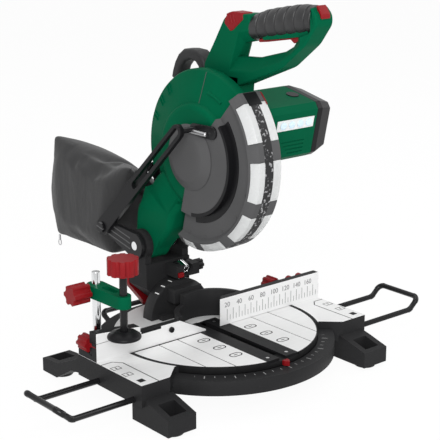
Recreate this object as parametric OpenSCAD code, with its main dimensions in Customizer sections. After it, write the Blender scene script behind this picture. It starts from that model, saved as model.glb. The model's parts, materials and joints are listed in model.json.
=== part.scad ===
// Compound mitre saw on a cast base: turntable, tilting column, chopping saw head.
// Frame: +X to the operator's right, +Y to the back, +Z up, millimetres.
// The origin lies on the bench under the turntable's pivot, and the fence faces lie at y = 0.

/* [Base] */
// Height of the table top above the bench
table_h = 55; // [52:0.5:58]
// Height of the casting's underside above the bench
base_under = 28; // [26:0.5:29]
// Top of the floor that the turntable turns on
floor_top = 39; // [38.5:0.1:40]
// Outer radius of the base ring
ring_r = 150; // [146:1:156]
// Height of the base ring's top face
ring_top = 46; // [45:0.1:46.2]
// Half the width of the casting over its wings
wing_x = 180; // [176:1:190]
// Front edge of the wings, ahead of the fence
wing_front = 87; // [82:1:92]
// Rear edge of the wings, behind the fence
wing_rear = 40; // [36:1:44]
// Where the chamfer starts on a wing's front edge
wing_chamfer_x = 139.5; // [137:0.5:145]
// Where the chamfer ends beside the ring
wing_chamfer_in = 117; // [112:1:122]
// Depth of that inner corner ahead of the fence
wing_chamfer_y = 66.5; // [62:0.5:70]
// Half the distance between left and right feet
foot_x = 156; // [152:1:158]
// Half the distance between front and rear feet
foot_y = 112; // [108:1:116]
// Half the width of a foot
foot_half = 20; // [18:1:21]
// Length of a foot beyond its bolt
foot_nose = 18; // [16:1:22]
// Height of a foot's front wall
foot_wall_h = 25; // [22:1:28]
// Side of the square pocket above a bench bolt
pocket_side = 23; // [20:1:26]
// Thickness of the pad that a bench bolt clamps
pad_t = 7; // [5:1:9]
// Radius of a bench bolt hole
bench_hole_r = 4.5; // [4:0.1:5.5]
// Height of a rubber foot
foot_h = 5; // [4:0.5:6]
// Outer radius of a rubber foot
foot_r = 13; // [11:0.5:15]
// Inner radius of a rubber foot
foot_bore = 6.5; // [6:0.5:7.5]

/* [Support bars] */
// Radius of the support bar rods
bar_r = 3.5; // [3:0.1:3.6]
// Height of the side bars' legs
bar_z = 33.5; // [33:0.1:34]
// Rear leg of a side bar
bar_rear_y = -2; // [-6:1:2]
// Front leg of a side bar
bar_front_y = -72; // [-76:1:-68]
// Length of a side bar's legs inside the casting
bar_inside = 70; // [60:1:75]
// Reach of the left bar beyond its wing
bar_reach_left = 100; // [80:1:110]
// Reach of the right bar beyond its wing
bar_reach_right = 120; // [90:1:130]
// Rise of a bar's end above its legs
bar_rise = 14; // [8:1:18]
// Length of the bent stretch at a bar's end
bar_bend = 16; // [10:1:22]
// Radius of the bends in a bar, at its middle
bar_bend_r = 8; // [6:0.5:9]
// How much thicker a bend is than its rod, on the radius
bend_swell = 0.3; // [0.2:0.05:0.5]
// Half the distance between the rear bar's legs
rear_bar_x = 36; // [30:1:40]
// Height of the rear bar's legs
rear_bar_z = 13; // [12:0.5:15]
// Reach of the rear bar behind the pivot
rear_bar_y = 197; // [185:1:205]
// Rear face of the block that carries the rear bar
rear_block_y = 148; // [145:1:152]
// Length of that block
rear_block_l = 36; // [30:1:40]

/* [Fence] */
// Thickness of the fence plates
fence_t = 10; // [8:0.5:11]
// Height of the tall fence above the table
fence_h = 36; // [32:1:40]
// Height of the low left fence above the table
low_fence_h = 23; // [20:1:25]
// Inner end of the left fence
fence_left_end = 15; // [13:1:20]
// Inner end of the right fence
fence_right_end = 8; // [6:1:12]
// Where the left fence starts to slope down
fence_slope_x = 56; // [50:1:62]
// Inner end of the sliding fence
slide_end = 116; // [112:1:120]
// Height of the fence's mounting feet
fence_foot_h = 12; // [10:1:14]
// Inner end of the fence's mounting feet
fence_foot_x = 133; // [132:1:136]
// Radius of the fence bolts
fence_bolt_r = 3; // [2.5:0.1:3.5]
// Radius of the fence lock knobs
knob_r = 10; // [8:0.5:10.5]
// Length of the fence lock knobs
knob_l = 18; // [14:1:22]
// Place of the left lock knob
knob_left_x = 177; // [176:1:180]
// Place of the right lock knob
knob_right_x = 116; // [112:1:122]

/* [Work clamp] */
// Distance of the clamp post from the middle
post_x = 160; // [158:0.5:161]
// Distance of the clamp post behind the fence
post_y = 27; // [26:0.5:29]
// Radius of the clamp post
post_r = 5; // [4:0.1:5.5]
// Top of the clamp post
post_top = 157; // [150:1:165]
// Distance from the post to the spindle
clamp_reach = 55; // [52:1:62]
// Underside of the clamp arm
arm_z = 127; // [124:1:129]
// Height of the clamp arm
arm_h = 15; // [14:1:18]
// Radius of the clamp spindle
spindle_r = 4.5; // [4:0.1:5.5]
// Radius of the clamp pad
pad_r = 20; // [16:1:22]
// Underside of the clamp pad
pad_z = 90; // [84:1:94]
// Radius of the spindle knob
spindle_knob_r = 18.5; // [16:0.5:19]
// Height of the spindle knob
spindle_knob_h = 19; // [16:1:22]
// Underside of the spindle knob
spindle_knob_z = 168; // [168:1:172]

/* [Turntable] */
// Radius of the turntable disc
disc_r = 128.5; // [126:0.5:130]
// Radius of the mitre pivot bolt
mitre_bolt_r = 8; // [6:0.5:10]
// Width of each kerf insert
insert_w = 20; // [16:1:22]
// Thickness of the kerf inserts
insert_t = 3; // [2:0.5:4]
// Width of the kerf slot between the inserts
kerf_w = 10; // [8:0.5:11]
// Rear end of the kerf slot behind the fence
kerf_rear = 30; // [26:1:34]

/* [Column] */
// Front face of the bevel bracket
bracket_y = 70; // [69:0.5:72]
// Thickness of the bevel bracket
bracket_t = 18; // [16:0.5:20]
// Radius of the bevel bracket's arc
bracket_r = 47; // [44:0.5:48]
// Radius of the bevel pivot bolt
bevel_bolt_r = 5; // [4:0.1:5.5]
// Rear face of the column
column_rear = 126; // [124:1:127]
// Place of the chop axle behind the fence
pivot_y = 106; // [105:0.5:107]
// Height of the chop axle
pivot_z = 147; // [146:0.5:148]
// Radius of the chop axle
axle_r = 6; // [5:0.1:7]
// Radius of the column's ears
ear_r = 20; // [18:0.5:22]
// Radius of the laser barrel
laser_r = 8; // [7:0.5:8.5]
// Length of the laser barrel
laser_l = 22; // [18:1:23]
// Mean radius of the return spring
spring_r = 11; // [10.8:0.1:11.6]
// Thickness of the spring's wire
spring_wire = 2.4; // [2:0.1:2.5]
// Distance between the spring's curls
spring_pitch = 3.2; // [3.1:0.05:3.3]
// Number of the spring's curls
spring_curls = 4; // [3:1:4]

/* [Saw head] */
// Place of the blade's centre behind the fence
arbor_y = 20; // [19:0.5:21]
// Height of the blade's centre with the head up
arbor_z = 275; // [274:0.5:277]
// Radius of the saw blade
blade_r = 100; // [95:0.5:100.5]
// Thickness of the saw blade
blade_t = 2.2; // [1.8:0.1:2.4]
// Number of teeth on the saw blade
blade_teeth = 40; // [24:2:48]
// Radius of the saw blade's bore
blade_bore = 15; // [12.5:0.5:15]
// Radius of the blade flanges
flange_r = 22; // [20:0.5:24]
// Radius of the arbor shaft
shaft_r = 7.5; // [6:0.1:8]
// Room from the blade's tips to the outside of the fixed upper guard
guard_room = 5.5; // [5:0.1:7]
// Wall of the fixed upper guard
guard_wall = 3; // [2.5:0.1:3.2]
// Step from the outside of the upper guard to the outside of the lower guard
lower_room = 12.5; // [11:0.5:13]
// Wall of the swinging lower guard
lower_wall = 3; // [2:0.1:3]
// Radius of the raised disc on the lower guard
lower_disc_r = 73; // [72.5:0.1:76]
// Radius of the hub that the lower guard turns on
guard_hub_r = 24; // [20:0.5:28]
// Radius of the gear case
case_r = 50; // [44:0.5:51]
// Right-hand face of the gear case
case_x = 48; // [47.5:0.5:49]
// Gear module
gear_m = 1.4; // [1.35:0.01:1.42]
// Teeth on the arbor's drive gear
gear_teeth = 48; // [48:1:48]
// Teeth on the motor's pinion
pinion_teeth = 12; // [12:1:12]
// Direction from the arbor to the motor's axis
motor_angle = 133; // [131:0.5:135]
// Turn of the motor housing about its axis
motor_tilt = 12; // [10:1:14]
// Half the depth of the motor housing
motor_u = 36; // [35.5:0.5:37]
// Half the height of the motor housing
motor_v = 36; // [35:0.5:37]
// Corner chamfer of the motor housing
motor_chamfer = 7; // [6:1:9]
// Wall of the motor housing
motor_wall = 4; // [3:0.1:4]
// Right-hand end of the motor housing
motor_x = 124; // [122:1:126]
// Length of the motor's end cap
cap_l = 28; // [24:1:30]
// Width of the handle
handle_w = 27; // [24:0.5:27.5]
// Left-hand face of the handle
handle_x = 20.5; // [20:0.5:21]
// Thickness of the rubber grip
grip_t = 3; // [2:0.5:4]
// Radius of the dust port
port_r = 19; // [16:0.5:19]
// Left-hand face of the dust bag
bag_left = -38; // [-39:1:-34]
// Right-hand face of the dust bag
bag_right = 50; // [44:1:54]

/* [Clearances] */
// Radial clearance of shafts and pins that turn
run_fit = 0.05; // [0.03:0.01:0.08]
// Radial clearance of pieces that are pushed together
seat_fit = 0.02; // [0.01:0.01:0.05]
// Gap between faces that pass each other
pass_gap = 0.4; // [0.3:0.05:0.6]

/* [Hidden] */
$fn = 64;
GREEN = "#0b5a37";
CHARCOAL = "#3a3b3c";
BLACK = "#1b1b1c";
RED = "#b8161f";
BRIGHT = "#d9dadb";
over = 1;

// Fence heights and depths
fence_z = table_h + pass_gap;
fence_top = table_h + fence_h;
low_top = table_h + low_fence_h;
flange_y = fence_t + pass_gap;
flange_t = 4;
flange_back = flange_y + flange_t;
knob_left_z = table_h + 18;
knob_right_z = table_h + 33;
knob_screw_r = 3;
knob_boss_r = 8;
fence_bolt_room = 12.5;
foot_fit = 0.3;
slide_drop = 6;
bridge_r = 51;
bridge_t = 6;
bridge_step = 18;
fence_bolts_at = [for (y = [21, 33]) [disc_r + fence_bolt_room, y]];
fence_bolt_depth = 10;
wing_screw_at = [160, 26];
clamp_socket_r = 9;
clamp_socket_top = table_h + fence_foot_h + 6;

// Turntable heights
disc_z = ring_top + pass_gap;
disc_gap = 0.6;
insert_z = table_h - insert_t;
insert_front = -sqrt(pow(disc_r - 1, 2) - pow(kerf_w / 2 + insert_w, 2));
notch_half = 14;
notch_y = bracket_y - 12;
pivot_boss_r = table_h - disc_z;
insert_screws_at = [for (x = [-1, 1], y = [insert_front + 10, kerf_rear - 10])
  [x * (kerf_w + insert_w) / 2, y]];
insert_screw_r = 2.5;
insert_screw_l = 6;
mitre_head_h = 8;

// Column places
bracket_back = bracket_y + bracket_t;
column_y = bracket_back + pass_gap;
ear_out = -40;
ear_in = -30;
ear_right_in = 20;
ear_right_out = 30;
hub_left = ear_in + pass_gap;
hub_right = -3;
sleeve_r = 8.5;
column_top = pivot_z - ear_r - 3;
nose_y = bracket_y - 6;
nose_z = table_h + bracket_r + 4;
nose_h = 15;
nose_left = -10;
nose_right = 27;
laser_x = 9;
switch_x = [nose_left + 2, laser_x - laser_r - 1.4];
laser_z = nose_z + 8;
laser_out = 5;
laser_tilt = 15;
lock_pin_r = 3;
lock_pin_y = nose_y + 16;
stop_y = column_rear + 7;
stop_x = 25;
stop_z = column_top + 4;
stop_r = 3;
lever_y = column_rear + 5;
lever_t = 12;
lever_end = [-25, table_h + 37];
lever_end_r = 12.2;

// Guard link places, as y and z
link_pin_at = [168, 160];
link_top_at = [9, 312];
link_pin_r = 4;
link_slot_from = 0.46;
link_x = -53;
link_t = 6;
bracket_plate_x = link_x + link_t + pass_gap;

// Guard places across the saw
dome_x = -19.5;
dome_edge_x = -3.5;
dome_flat_r = 40;
drum_right = 9;
upper_from = -74;
upper_to = 136;
lower_from = 132;
lower_to = 284;
lower_disc_x = -23;
lower_ring_x = -15.5;
lower_rim_x = -22;
lower_right = 19;
lower_inner_r = case_r + 13;
lower_hub_w = 5;
lever_seat_at = [arbor_y - 44, arbor_z + 37];
lever_plate_t = 3;
guard_r = blade_r + guard_room;
lower_r = guard_r + lower_room;
rim_from_r = lower_r - 13;
window_gap = 0.3;
window_r = rim_from_r + 2.8;
rim_slope = 8;
windows_at = [[139, 163], [174, 199], [209, 232], [241, 262], [269, 280]];
lever_pin_at = [link_top_at[0], link_top_at[1]];
lever_pin_r = 3.5;

// Arbor, gears and motor
gear_r = gear_m * gear_teeth / 2;
pinion_r = gear_m * pinion_teeth / 2;
motor_y = arbor_y + (gear_r + pinion_r) * cos(motor_angle);
motor_z = arbor_z + (gear_r + pinion_r) * sin(motor_angle);
gear_x = 24;
gear_w = 13;
gear_wall_x = gear_x - 3;
case_flange_r = case_r + 11;
case_flange_x = drum_right + 5;
bearing_w = 8;
bearing_r = 17;
motor_shaft_r = 5;
motor_bearing_r = 11;
brush_x = 112;
lamp_low = 7;
lamp_high = 21;
gland_x = 66;
gland_r = 7;
gland_l = 12;
brush_cap_r = 8;
commutator_r = 14;
rotor_r = 24;
rotor_from = 64;
rotor_to = 100;

// Handle outline in the middle plane of the handle, as y and z
neck_z = 372;
handle_out = [[-36, neck_z], [-100, 396], [-131, 426], [-150, 443], [-154, 454], [-138.5, 469], [-113, 466],
  [-60, 456], [-26, 447], [-2, 446], [8, 441], [28, 409], [46, 382], [46, neck_z]];
hand_hole = [[-8, 397], [-20, 413], [-50, 419], [-108, 429], [-104, 419], [-90, 411], [-45, 399]];
grip_from = -38;
grip_to = -134;
trigger_at = [-98, 426];
trigger_x = handle_x + handle_w / 2;
trigger_half = 6;
trigger_l = 46;
trigger_h = 9;
trigger_pivot = trigger_at + [0, 5.2];
trigger_ear_r = 3;
trunnion_r = 1.8;
trunnion_l = 2.2;
button_half = 7;
button_gap = 0.4;
button_room = 4;
button_way = [0.664, -0.748];
front_button_at = [-146, 463];

// Dust bag outline and port
port_angle = -25;
port_from = guard_r + 0.5;
port_to = guard_r + 34;
bag_out = [[132, 246], [230, 244], [318, 252], [338, 180], [326, 108], [196, 108]];
bag_mid = [240, 180];

// Carry handle outline, as y and z
carry_foot = [96, 351];
carry_out = [[46.3, neck_z], [48, 382], [60, 395], [89, 396], [106, 380], [113, 359], carry_foot + [8.6, -6],
  carry_foot + [0.3, 0.3]];
carry_hole = [[58, 373], [64, 382], [84, 383], [95, 373], [98, 361], [93, 357]];

// Places a flat outline in y and z and gives it a thickness along x
module along_x(x0, x1) {
  translate([x0, 0, 0])
    rotate([90, 0, 90])
      linear_extrude(x1 - x0)
        children();
}

// Places a flat outline in x and z and gives it a thickness along y
module along_y(y0, y1) {
  translate([0, y1, 0])
    rotate([90, 0, 0])
      linear_extrude(y1 - y0)
        children();
}

// Places a flat outline in x and y and gives it a thickness along z
module along_z(z0, z1) {
  translate([0, 0, z0])
    linear_extrude(z1 - z0)
      children();
}

module rod_x(r, x0, x1, y, z) {
  translate([x0, y, z])
    rotate([0, 90, 0])
      cylinder(r = r, h = x1 - x0);
}

module rod_y(r, y0, y1, x, z) {
  translate([x, y0, z])
    rotate([-90, 0, 0])
      cylinder(r = r, h = y1 - y0);
}

module rod_z(r, z0, z1, x, y) {
  translate([x, y, z0])
    cylinder(r = r, h = z1 - z0);
}

module block(x, y, z) {
  translate([x[0], y[0], z[0]])
    cube([x[1] - x[0], y[1] - y[0], z[1] - z[0]]);
}

// Turns an outline of radius and x about the arbor, from one angle to another
module turned(a0, a1) {
  translate([0, arbor_y, arbor_z])
    rotate([90, 0, 90])
      rotate([0, 0, a0])
        rotate_extrude(angle = a1 - a0)
          children();
}

// Two discs and the straight edges that touch both
module strap(p, pr, q, qr) {
  way = atan2(q[1] - p[1], q[0] - p[0]);
  lean = acos((pr - qr) / norm(q - p));
  translate(p)
    circle(r = pr);
  translate(q)
    circle(r = qr);
  polygon([for (s = [-1, 1], e = [s, -s])
    (e == s ? [for (c = [s < 0 ? [p, pr] : [q, qr]]) c][0][0] : [s < 0 ? q : p][0])
    + (e == s ? (s < 0 ? pr : qr) : (s < 0 ? qr : pr))
    * [cos(way + s * lean), sin(way + s * lean)]]);
}

// Fluted hand knob along z, from 0 up
module fluted_knob(r, h, flutes, flute_r) {
  difference() {
    cylinder(r = r, h = h);
    for (i = [0:flutes - 1])
      rotate(i * 360 / flutes)
        translate([r + flute_r * 0.45, 0, -over])
          cylinder(r = flute_r, h = h + 2 * over);
  }
}

// Gear outline with straight flanks
module gear_outline(teeth, m) {
  r = teeth * m / 2;
  step = 360 / teeth;
  polygon([for (i = [0:teeth - 1], k = [[-0.27, r - 1.2 * m], [-0.19, r], [-0.1, r + 0.9 * m],
      [0.1, r + 0.9 * m], [0.19, r], [0.27, r - 1.2 * m]])
    k[1] * [cos((i + k[0]) * step), sin((i + k[0]) * step)]]);
}

module octagon(u, v, c) {
  polygon([[u, v - c], [u - c, v], [c - u, v], [-u, v - c], [-u, c - v], [c - u, -v], [u - c, -v], [u, c - v]]);
}

module in_motor_frame() {
  translate([0, motor_y, motor_z])
    rotate([motor_tilt, 0, 0])
      children();
}

module base_leg() {
  nose = foot_y + foot_nose;
  along_x(foot_x - foot_half, foot_x + foot_half)
    polygon([[-wing_front + 24, foot_h], [-wing_front + 24, base_under + over], [-wing_front, base_under + 8],
      [-foot_y + 12, base_under + 5], [-nose, foot_wall_h], [-nose, foot_h]]);
}

module base_rear_leg() {
  nose = foot_y + foot_nose - 4;
  along_x(foot_x - foot_half, foot_x + foot_half)
    polygon([[wing_rear - over, base_under], [wing_rear - over, 50], [54, 42], [90, foot_wall_h],
      [nose, foot_wall_h - 3], [nose, foot_h], [foot_y - 17, foot_h], [62, base_under - 3]]);
}

module base_wing() {
  along_z(base_under, table_h)
    polygon([[wing_chamfer_in - 20, wing_rear], [wing_x, wing_rear], [wing_x, -wing_front],
      [wing_chamfer_x, -wing_front], [wing_chamfer_in, -wing_chamfer_y], [wing_chamfer_in - 20, -wing_chamfer_y]]);
}

module base_casting() {
  color(CHARCOAL)
    difference() {
      union() {
        rod_z(ring_r, base_under, ring_top, 0, 0);
        for (s = [0, 1])
          mirror([s, 0, 0]) {
            base_wing();
            base_leg();
            base_rear_leg();
          }
        for (x = [-foot_x, foot_x], y = [-foot_y, foot_y])
          rod_z(foot_bore - foot_fit, 0, foot_h + 1, x, y);
        block([-50, 50], [rear_block_y - rear_block_l, rear_block_y], [rear_bar_z - bar_r - 3, base_under + 2]);
      }
      rod_z(disc_r + disc_gap, floor_top, table_h + over, 0, 0);
      rod_z(mitre_bolt_r + seat_fit, base_under - over, floor_top + over, 0, 0);
      for (x = [-foot_x, foot_x], y = [-foot_y, foot_y]) {
        rod_z(bench_hole_r, -over, foot_h + pad_t + over, x, y);
        block([x - pocket_side / 2, x + pocket_side / 2], [y - pocket_side / 2, y + pocket_side / 2],
          [foot_h + pad_t, base_under + 20]);
      }
      for (s = [-1, 1], y = [bar_rear_y, bar_front_y])
        rod_x(bar_r + run_fit, s < 0 ? -wing_x - over : 45, s < 0 ? -45 : wing_x + over, y, bar_z);
      for (x = [-rear_bar_x, rear_bar_x])
        rod_y(bar_r + run_fit, rear_block_y - rear_block_l - over, rear_block_y + over, x, rear_bar_z);
      for (s = [-1, 1], p = fence_bolts_at)
        rod_z(fence_bolt_r + seat_fit, table_h - fence_bolt_depth, table_h + over, s * p[0], p[1]);
      rod_z(knob_screw_r + run_fit, table_h - fence_bolt_depth, table_h + over, wing_screw_at[0], wing_screw_at[1]);
      rod_z(post_r + run_fit, base_under + 10, table_h + over, -post_x, post_y);
    }
}

module rubber_feet() {
  color(BLACK)
    for (x = [-foot_x, foot_x], y = [-foot_y, foot_y])
      difference() {
        rod_z(foot_r, 0, foot_h, x, y);
        rod_z(foot_bore, -over, foot_h + over, x, y);
      }
}

module fence_foot(side) {
  block(side < 0 ? [-wing_x, -fence_foot_x] : [fence_foot_x, wing_x], [0, wing_rear - 2],
    [table_h, table_h + fence_foot_h]);
}

module fence_left() {
  color(BRIGHT)
    difference() {
      union() {
        along_y(0, fence_t)
          polygon([[-wing_x, fence_z], [-fence_left_end, fence_z], [-fence_left_end, fence_z + 2],
            [-fence_slope_x, low_top], [-wing_x, low_top]]);
        fence_foot(-1);
        rod_z(clamp_socket_r, table_h, clamp_socket_top, -post_x, post_y);
      }
      block([-wing_x - over, -slide_end], [flange_y - pass_gap, flange_back + pass_gap],
        [table_h + fence_foot_h - 6, fence_top]);
      rod_z(post_r + run_fit, table_h - over, clamp_socket_top + over, -post_x, post_y);
      rod_y(knob_screw_r + run_fit, 2, fence_t + over, -knob_left_x, knob_left_z);
      rod_y(knob_r + 1, flange_back, wing_rear, -knob_left_x, knob_left_z);
      for (p = fence_bolts_at)
        rod_z(fence_bolt_r + seat_fit, table_h - over, table_h + fence_foot_h + over, -p[0], p[1]);
    }
}

module sliding_fence() {
  color(BRIGHT)
    difference() {
      union() {
        along_y(0, flange_back)
          polygon([[-wing_x, low_top + pass_gap], [-slide_end, low_top + pass_gap], [-slide_end, fence_top - slide_drop],
            [-wing_x, fence_top]]);
        block([-wing_x, -slide_end], [flange_y, flange_back], [table_h + fence_foot_h - 5, fence_top - slide_drop]);
      }
      block([-wing_x - over, -knob_left_x + 44], [flange_y - over, flange_back + over],
        [knob_left_z - knob_screw_r - 0.5, knob_left_z + knob_screw_r + 0.5]);
    }
}

// Wall that goes round behind the blade from the right fence to the back of the low left fence
module fence_bridge() {
  difference() {
    union() {
      rod_z(bridge_r, fence_z, low_top, 0, 0);
      intersection() {
        rod_z(bridge_r, fence_z, fence_top, 0, 0);
        block([-bridge_step, bridge_r], [0, bridge_r], [fence_z, fence_top]);
      }
    }
    rod_z(bridge_r - bridge_t, fence_z - over, fence_top + over, 0, 0);
    block([-bridge_r - 1, bridge_r + 1], [-bridge_r - 1, fence_t - 1], [fence_z - over, fence_top + over]);
    block([-bridge_r - 1, 0], [0, fence_t + foot_fit], [fence_z - over, fence_top + over]);
  }
}

module fence_right() {
  color(BRIGHT)
    difference() {
      union() {
        along_z(fence_z, fence_top)
          polygon([[fence_right_end, 0], [wing_x, 0], [wing_x, fence_t], [fence_right_end + fence_t, fence_t]]);
        fence_foot(1);
        fence_bridge();
        rod_y(knob_boss_r, fence_t - over, flange_back, knob_right_x, knob_right_z - 6);
      }
      rod_y(knob_screw_r + run_fit, 2, flange_back + over, knob_right_x, knob_right_z - 6);
      rod_z(knob_screw_r + run_fit, table_h - over, table_h + fence_foot_h + over, wing_screw_at[0], wing_screw_at[1]);
      for (p = fence_bolts_at)
        rod_z(fence_bolt_r + seat_fit, table_h - over, table_h + fence_foot_h + over, p[0], p[1]);
    }
}

module fence_bolts() {
  color("silver")
    for (s = [-1, 1], p = fence_bolts_at) {
      rod_z(fence_bolt_r, table_h - fence_bolt_depth + over, table_h + fence_foot_h + over, s * p[0], p[1]);
      rod_z(fence_bolt_r + 2, table_h + fence_foot_h, table_h + fence_foot_h + 4, s * p[0], p[1]);
    }
}

// Knob with its screw along y, screwed in from behind the fence
module fence_knob(x, z) {
  rod_y(knob_screw_r, 3, flange_back + 2 * over, x, z);
  translate([x, flange_back + pass_gap, z])
    rotate([-90, 0, 0])
      fluted_knob(knob_r, knob_l, 7, 3);
}

module fence_knob_left() {
  color(RED)
    fence_knob(-knob_left_x, knob_left_z);
}

module fence_knob_right() {
  color(RED)
    fence_knob(knob_right_x, knob_right_z - 6);
}

module fence_wing_screw() {
  foot_top = table_h + fence_foot_h;
  color(RED) {
    rod_z(knob_screw_r, table_h - fence_bolt_depth + over, foot_top + 2, wing_screw_at[0], wing_screw_at[1]);
    rod_z(7, foot_top + pass_gap, foot_top + 8, wing_screw_at[0], wing_screw_at[1]);
    for (s = [-1, 1])
      rod_y(6, wing_screw_at[1] - 3, wing_screw_at[1] + 3, wing_screw_at[0] + s * 9, foot_top + 12);
  }
}

// One bend of a bar, from the origin along +x and turning toward +y, a little thicker than the rod that enters it
module elbow(turn) {
  translate([0, bar_bend_r, 0])
    rotate(-90)
      rotate_extrude(angle = turn)
        translate([bar_bend_r, 0])
          circle(r = bar_r + bend_swell);
}

// Bent rod: two legs that rise at their ends and a cross bar, with rounded bends
module bent_bar(inner, outer, y0, y1, z, rise, bend) {
  climb = atan2(rise, bend);
  reach = norm([bend, rise]);
  tuck = bar_bend_r * tan(climb / 2);
  for (m = [0, 1])
    translate([0, m == 0 ? y0 : y1, z])
      mirror([0, m, 0]) {
        rod_x(bar_r, inner, outer - bend - tuck + bend_swell, 0, 0);
        translate([outer - bend - tuck, 0, 0])
          rotate([90, 0, 0])
            elbow(climb);
        translate([outer - bend, 0, 0])
          rotate([0, -climb, 0]) {
            rod_x(bar_r, tuck - bend_swell, reach - bar_bend_r + bend_swell, 0, 0);
            translate([reach - bar_bend_r, 0, 0])
              elbow(90);
          }
      }
  rod_y(bar_r, y0 + bar_bend_r - bend_swell, y1 - bar_bend_r + bend_swell, outer, z + rise);
}

module support_bar_left() {
  color(BLACK)
    mirror([1, 0, 0])
      bent_bar(wing_x - bar_inside, wing_x + bar_reach_left, bar_front_y, bar_rear_y, bar_z, bar_rise, bar_bend);
}

module support_bar_right() {
  color(BLACK)
    bent_bar(wing_x - bar_inside + 10, wing_x + bar_reach_right, bar_front_y, bar_rear_y, bar_z, bar_rise, bar_bend);
}

module rear_support_bar() {
  color(BLACK)
    rotate([0, 0, 90])
      bent_bar(rear_block_y - rear_block_l - 10, rear_bar_y, -rear_bar_x, rear_bar_x, rear_bar_z,
        bar_rise + 3, bar_bend * 2);
}

module clamp_post() {
  color("silver")
    rod_z(post_r, base_under + 11, post_top, -post_x, post_y);
}

module clamp_arm() {
  spindle_y = post_y - clamp_reach;
  color(GREEN)
    difference() {
      union() {
        along_z(arm_z, arm_z + arm_h)
          strap([-post_x, post_y], 11, [-post_x, spindle_y], 9);
        rod_x(arm_h / 2 - 0.3, -post_x - 13, -post_x, post_y, arm_z + arm_h / 2);
      }
      rod_z(post_r + run_fit, arm_z - over, arm_z + arm_h + over, -post_x, post_y);
      rod_z(spindle_r + run_fit, arm_z - over, arm_z + arm_h + over, -post_x, spindle_y);
      rod_x(knob_screw_r + run_fit, -post_x - 14, -post_x, post_y, arm_z + arm_h / 2);
      along_z(arm_z + arm_h - 4, arm_z + arm_h + over)
        strap([-post_x, post_y - 20], 4.5, [-post_x, spindle_y + 17], 4);
    }
}

module clamp_arm_knob() {
  color(RED) {
    rod_x(knob_screw_r, -post_x - 15, -post_x - post_r - pass_gap, post_y, arm_z + arm_h / 2);
    translate([-post_x - 13 - pass_gap, post_y, arm_z + arm_h / 2])
      rotate([0, -90, 0])
        fluted_knob(12.5, 24, 6, 5);
  }
}

module clamp_spindle() {
  color(CHARCOAL)
    rod_z(spindle_r, pad_z + 4, spindle_knob_z + 6, -post_x, post_y - clamp_reach);
}

module clamp_spindle_knob() {
  color(RED)
    translate([-post_x, post_y - clamp_reach, spindle_knob_z])
      difference() {
        fluted_knob(spindle_knob_r, spindle_knob_h, 10, 3.5);
        translate([0, 0, -over])
          cylinder(r = spindle_r + seat_fit, h = 6 + over);
      }
}

module clamp_pad() {
  color(BLACK)
    translate([-post_x, post_y - clamp_reach, pad_z])
      rotate_extrude()
        polygon([[0, 0], [pad_r, 0], [pad_r, 3], [pad_r - 5, 7], [9, 9], [spindle_r + seat_fit, 9],
          [spindle_r + seat_fit, 4], [0, 4]]);
}

module mitre_pivot_bolt() {
  color("silver") {
    rod_z(mitre_bolt_r, base_under - over, disc_z - over, 0, 0);
    translate([0, 0, base_under - mitre_head_h])
      cylinder(r = mitre_bolt_r + 6, h = mitre_head_h, $fn = 6);
  }
}

module turntable_disc() {
  groove_w = 1.4;
  groove_d = 1;
  groove_x = 61;
  groove_pitch = 28.5;
  slot_y = 24;
  slot_pitch = 30;
  slot_r = 5;
  channel = kerf_w / 2 + insert_w;
  color(BRIGHT)
    difference() {
      union() {
        rod_z(disc_r, disc_z, table_h, 0, 0);
        rod_z(mitre_bolt_r + 18, floor_top + pass_gap, disc_z + over, 0, 0);
        difference() {
          rod_z(disc_r - 5, floor_top + pass_gap, disc_z + over, 0, 0);
          rod_z(disc_r - 15, floor_top, disc_z, 0, 0);
        }
      }
      rod_z(mitre_bolt_r + run_fit, floor_top, disc_z, 0, 0);
      block([-channel - 0.1, channel + 0.1], [-disc_r - over, kerf_rear + 0.1], [insert_z, table_h + over]);
      block([-kerf_w / 2 - 4, kerf_w / 2 + 4], [insert_front + 16, -mitre_bolt_r - 14], [floor_top, table_h]);
      block([-kerf_w / 2, kerf_w / 2], [-mitre_bolt_r - 15, kerf_rear], [disc_z + 1.5, table_h]);
      block([-notch_half, notch_half], [notch_y, disc_r + over], [floor_top, table_h + over]);
      for (p = insert_screws_at)
        rod_z(insert_screw_r + seat_fit, table_h - insert_screw_l - over, table_h, p[0], p[1]);
      for (s = [-1, 1], i = [0:1])
        block([s * (groove_x + groove_pitch * i) - groove_w / 2, s * (groove_x + groove_pitch * i) + groove_w / 2],
          [-disc_r, kerf_rear], [table_h - groove_d, table_h + over]);
      for (s = [-1, 1], i = [0:2])
        translate([s * (channel + 13), -slot_y - slot_pitch * i, table_h - groove_d])
          difference() {
            along_z(0, groove_d + over)
              strap([-3.5, 0], slot_r, [3.5, 0], slot_r);
            along_z(-over, groove_d + 2 * over)
              strap([-3.5, 0], slot_r - 1, [3.5, 0], slot_r - 1);
          }
    }
}

module kerf_inserts() {
  color("gray")
    for (s = [-1, 1])
      difference() {
        block(s < 0 ? [-kerf_w / 2 - insert_w, -kerf_w / 2] : [kerf_w / 2, kerf_w / 2 + insert_w],
          [insert_front, kerf_rear], [insert_z, table_h]);
        for (p = insert_screws_at)
          rod_z(insert_screw_r + seat_fit, insert_z - over, table_h + over, p[0], p[1]);
      }
}

module insert_screws() {
  color("silver")
    for (p = insert_screws_at)
      rod_z(insert_screw_r, table_h - insert_screw_l, table_h - 0.3, p[0], p[1]);
}

module mitre_pointer() {
  color(RED)
    along_z(ring_top + 0.6, table_h - 2)
      polygon([[-4, -disc_r], [4, -disc_r], [4, -disc_r - 4], [0, -disc_r - 9], [-4, -disc_r - 4]]);
}

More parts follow.
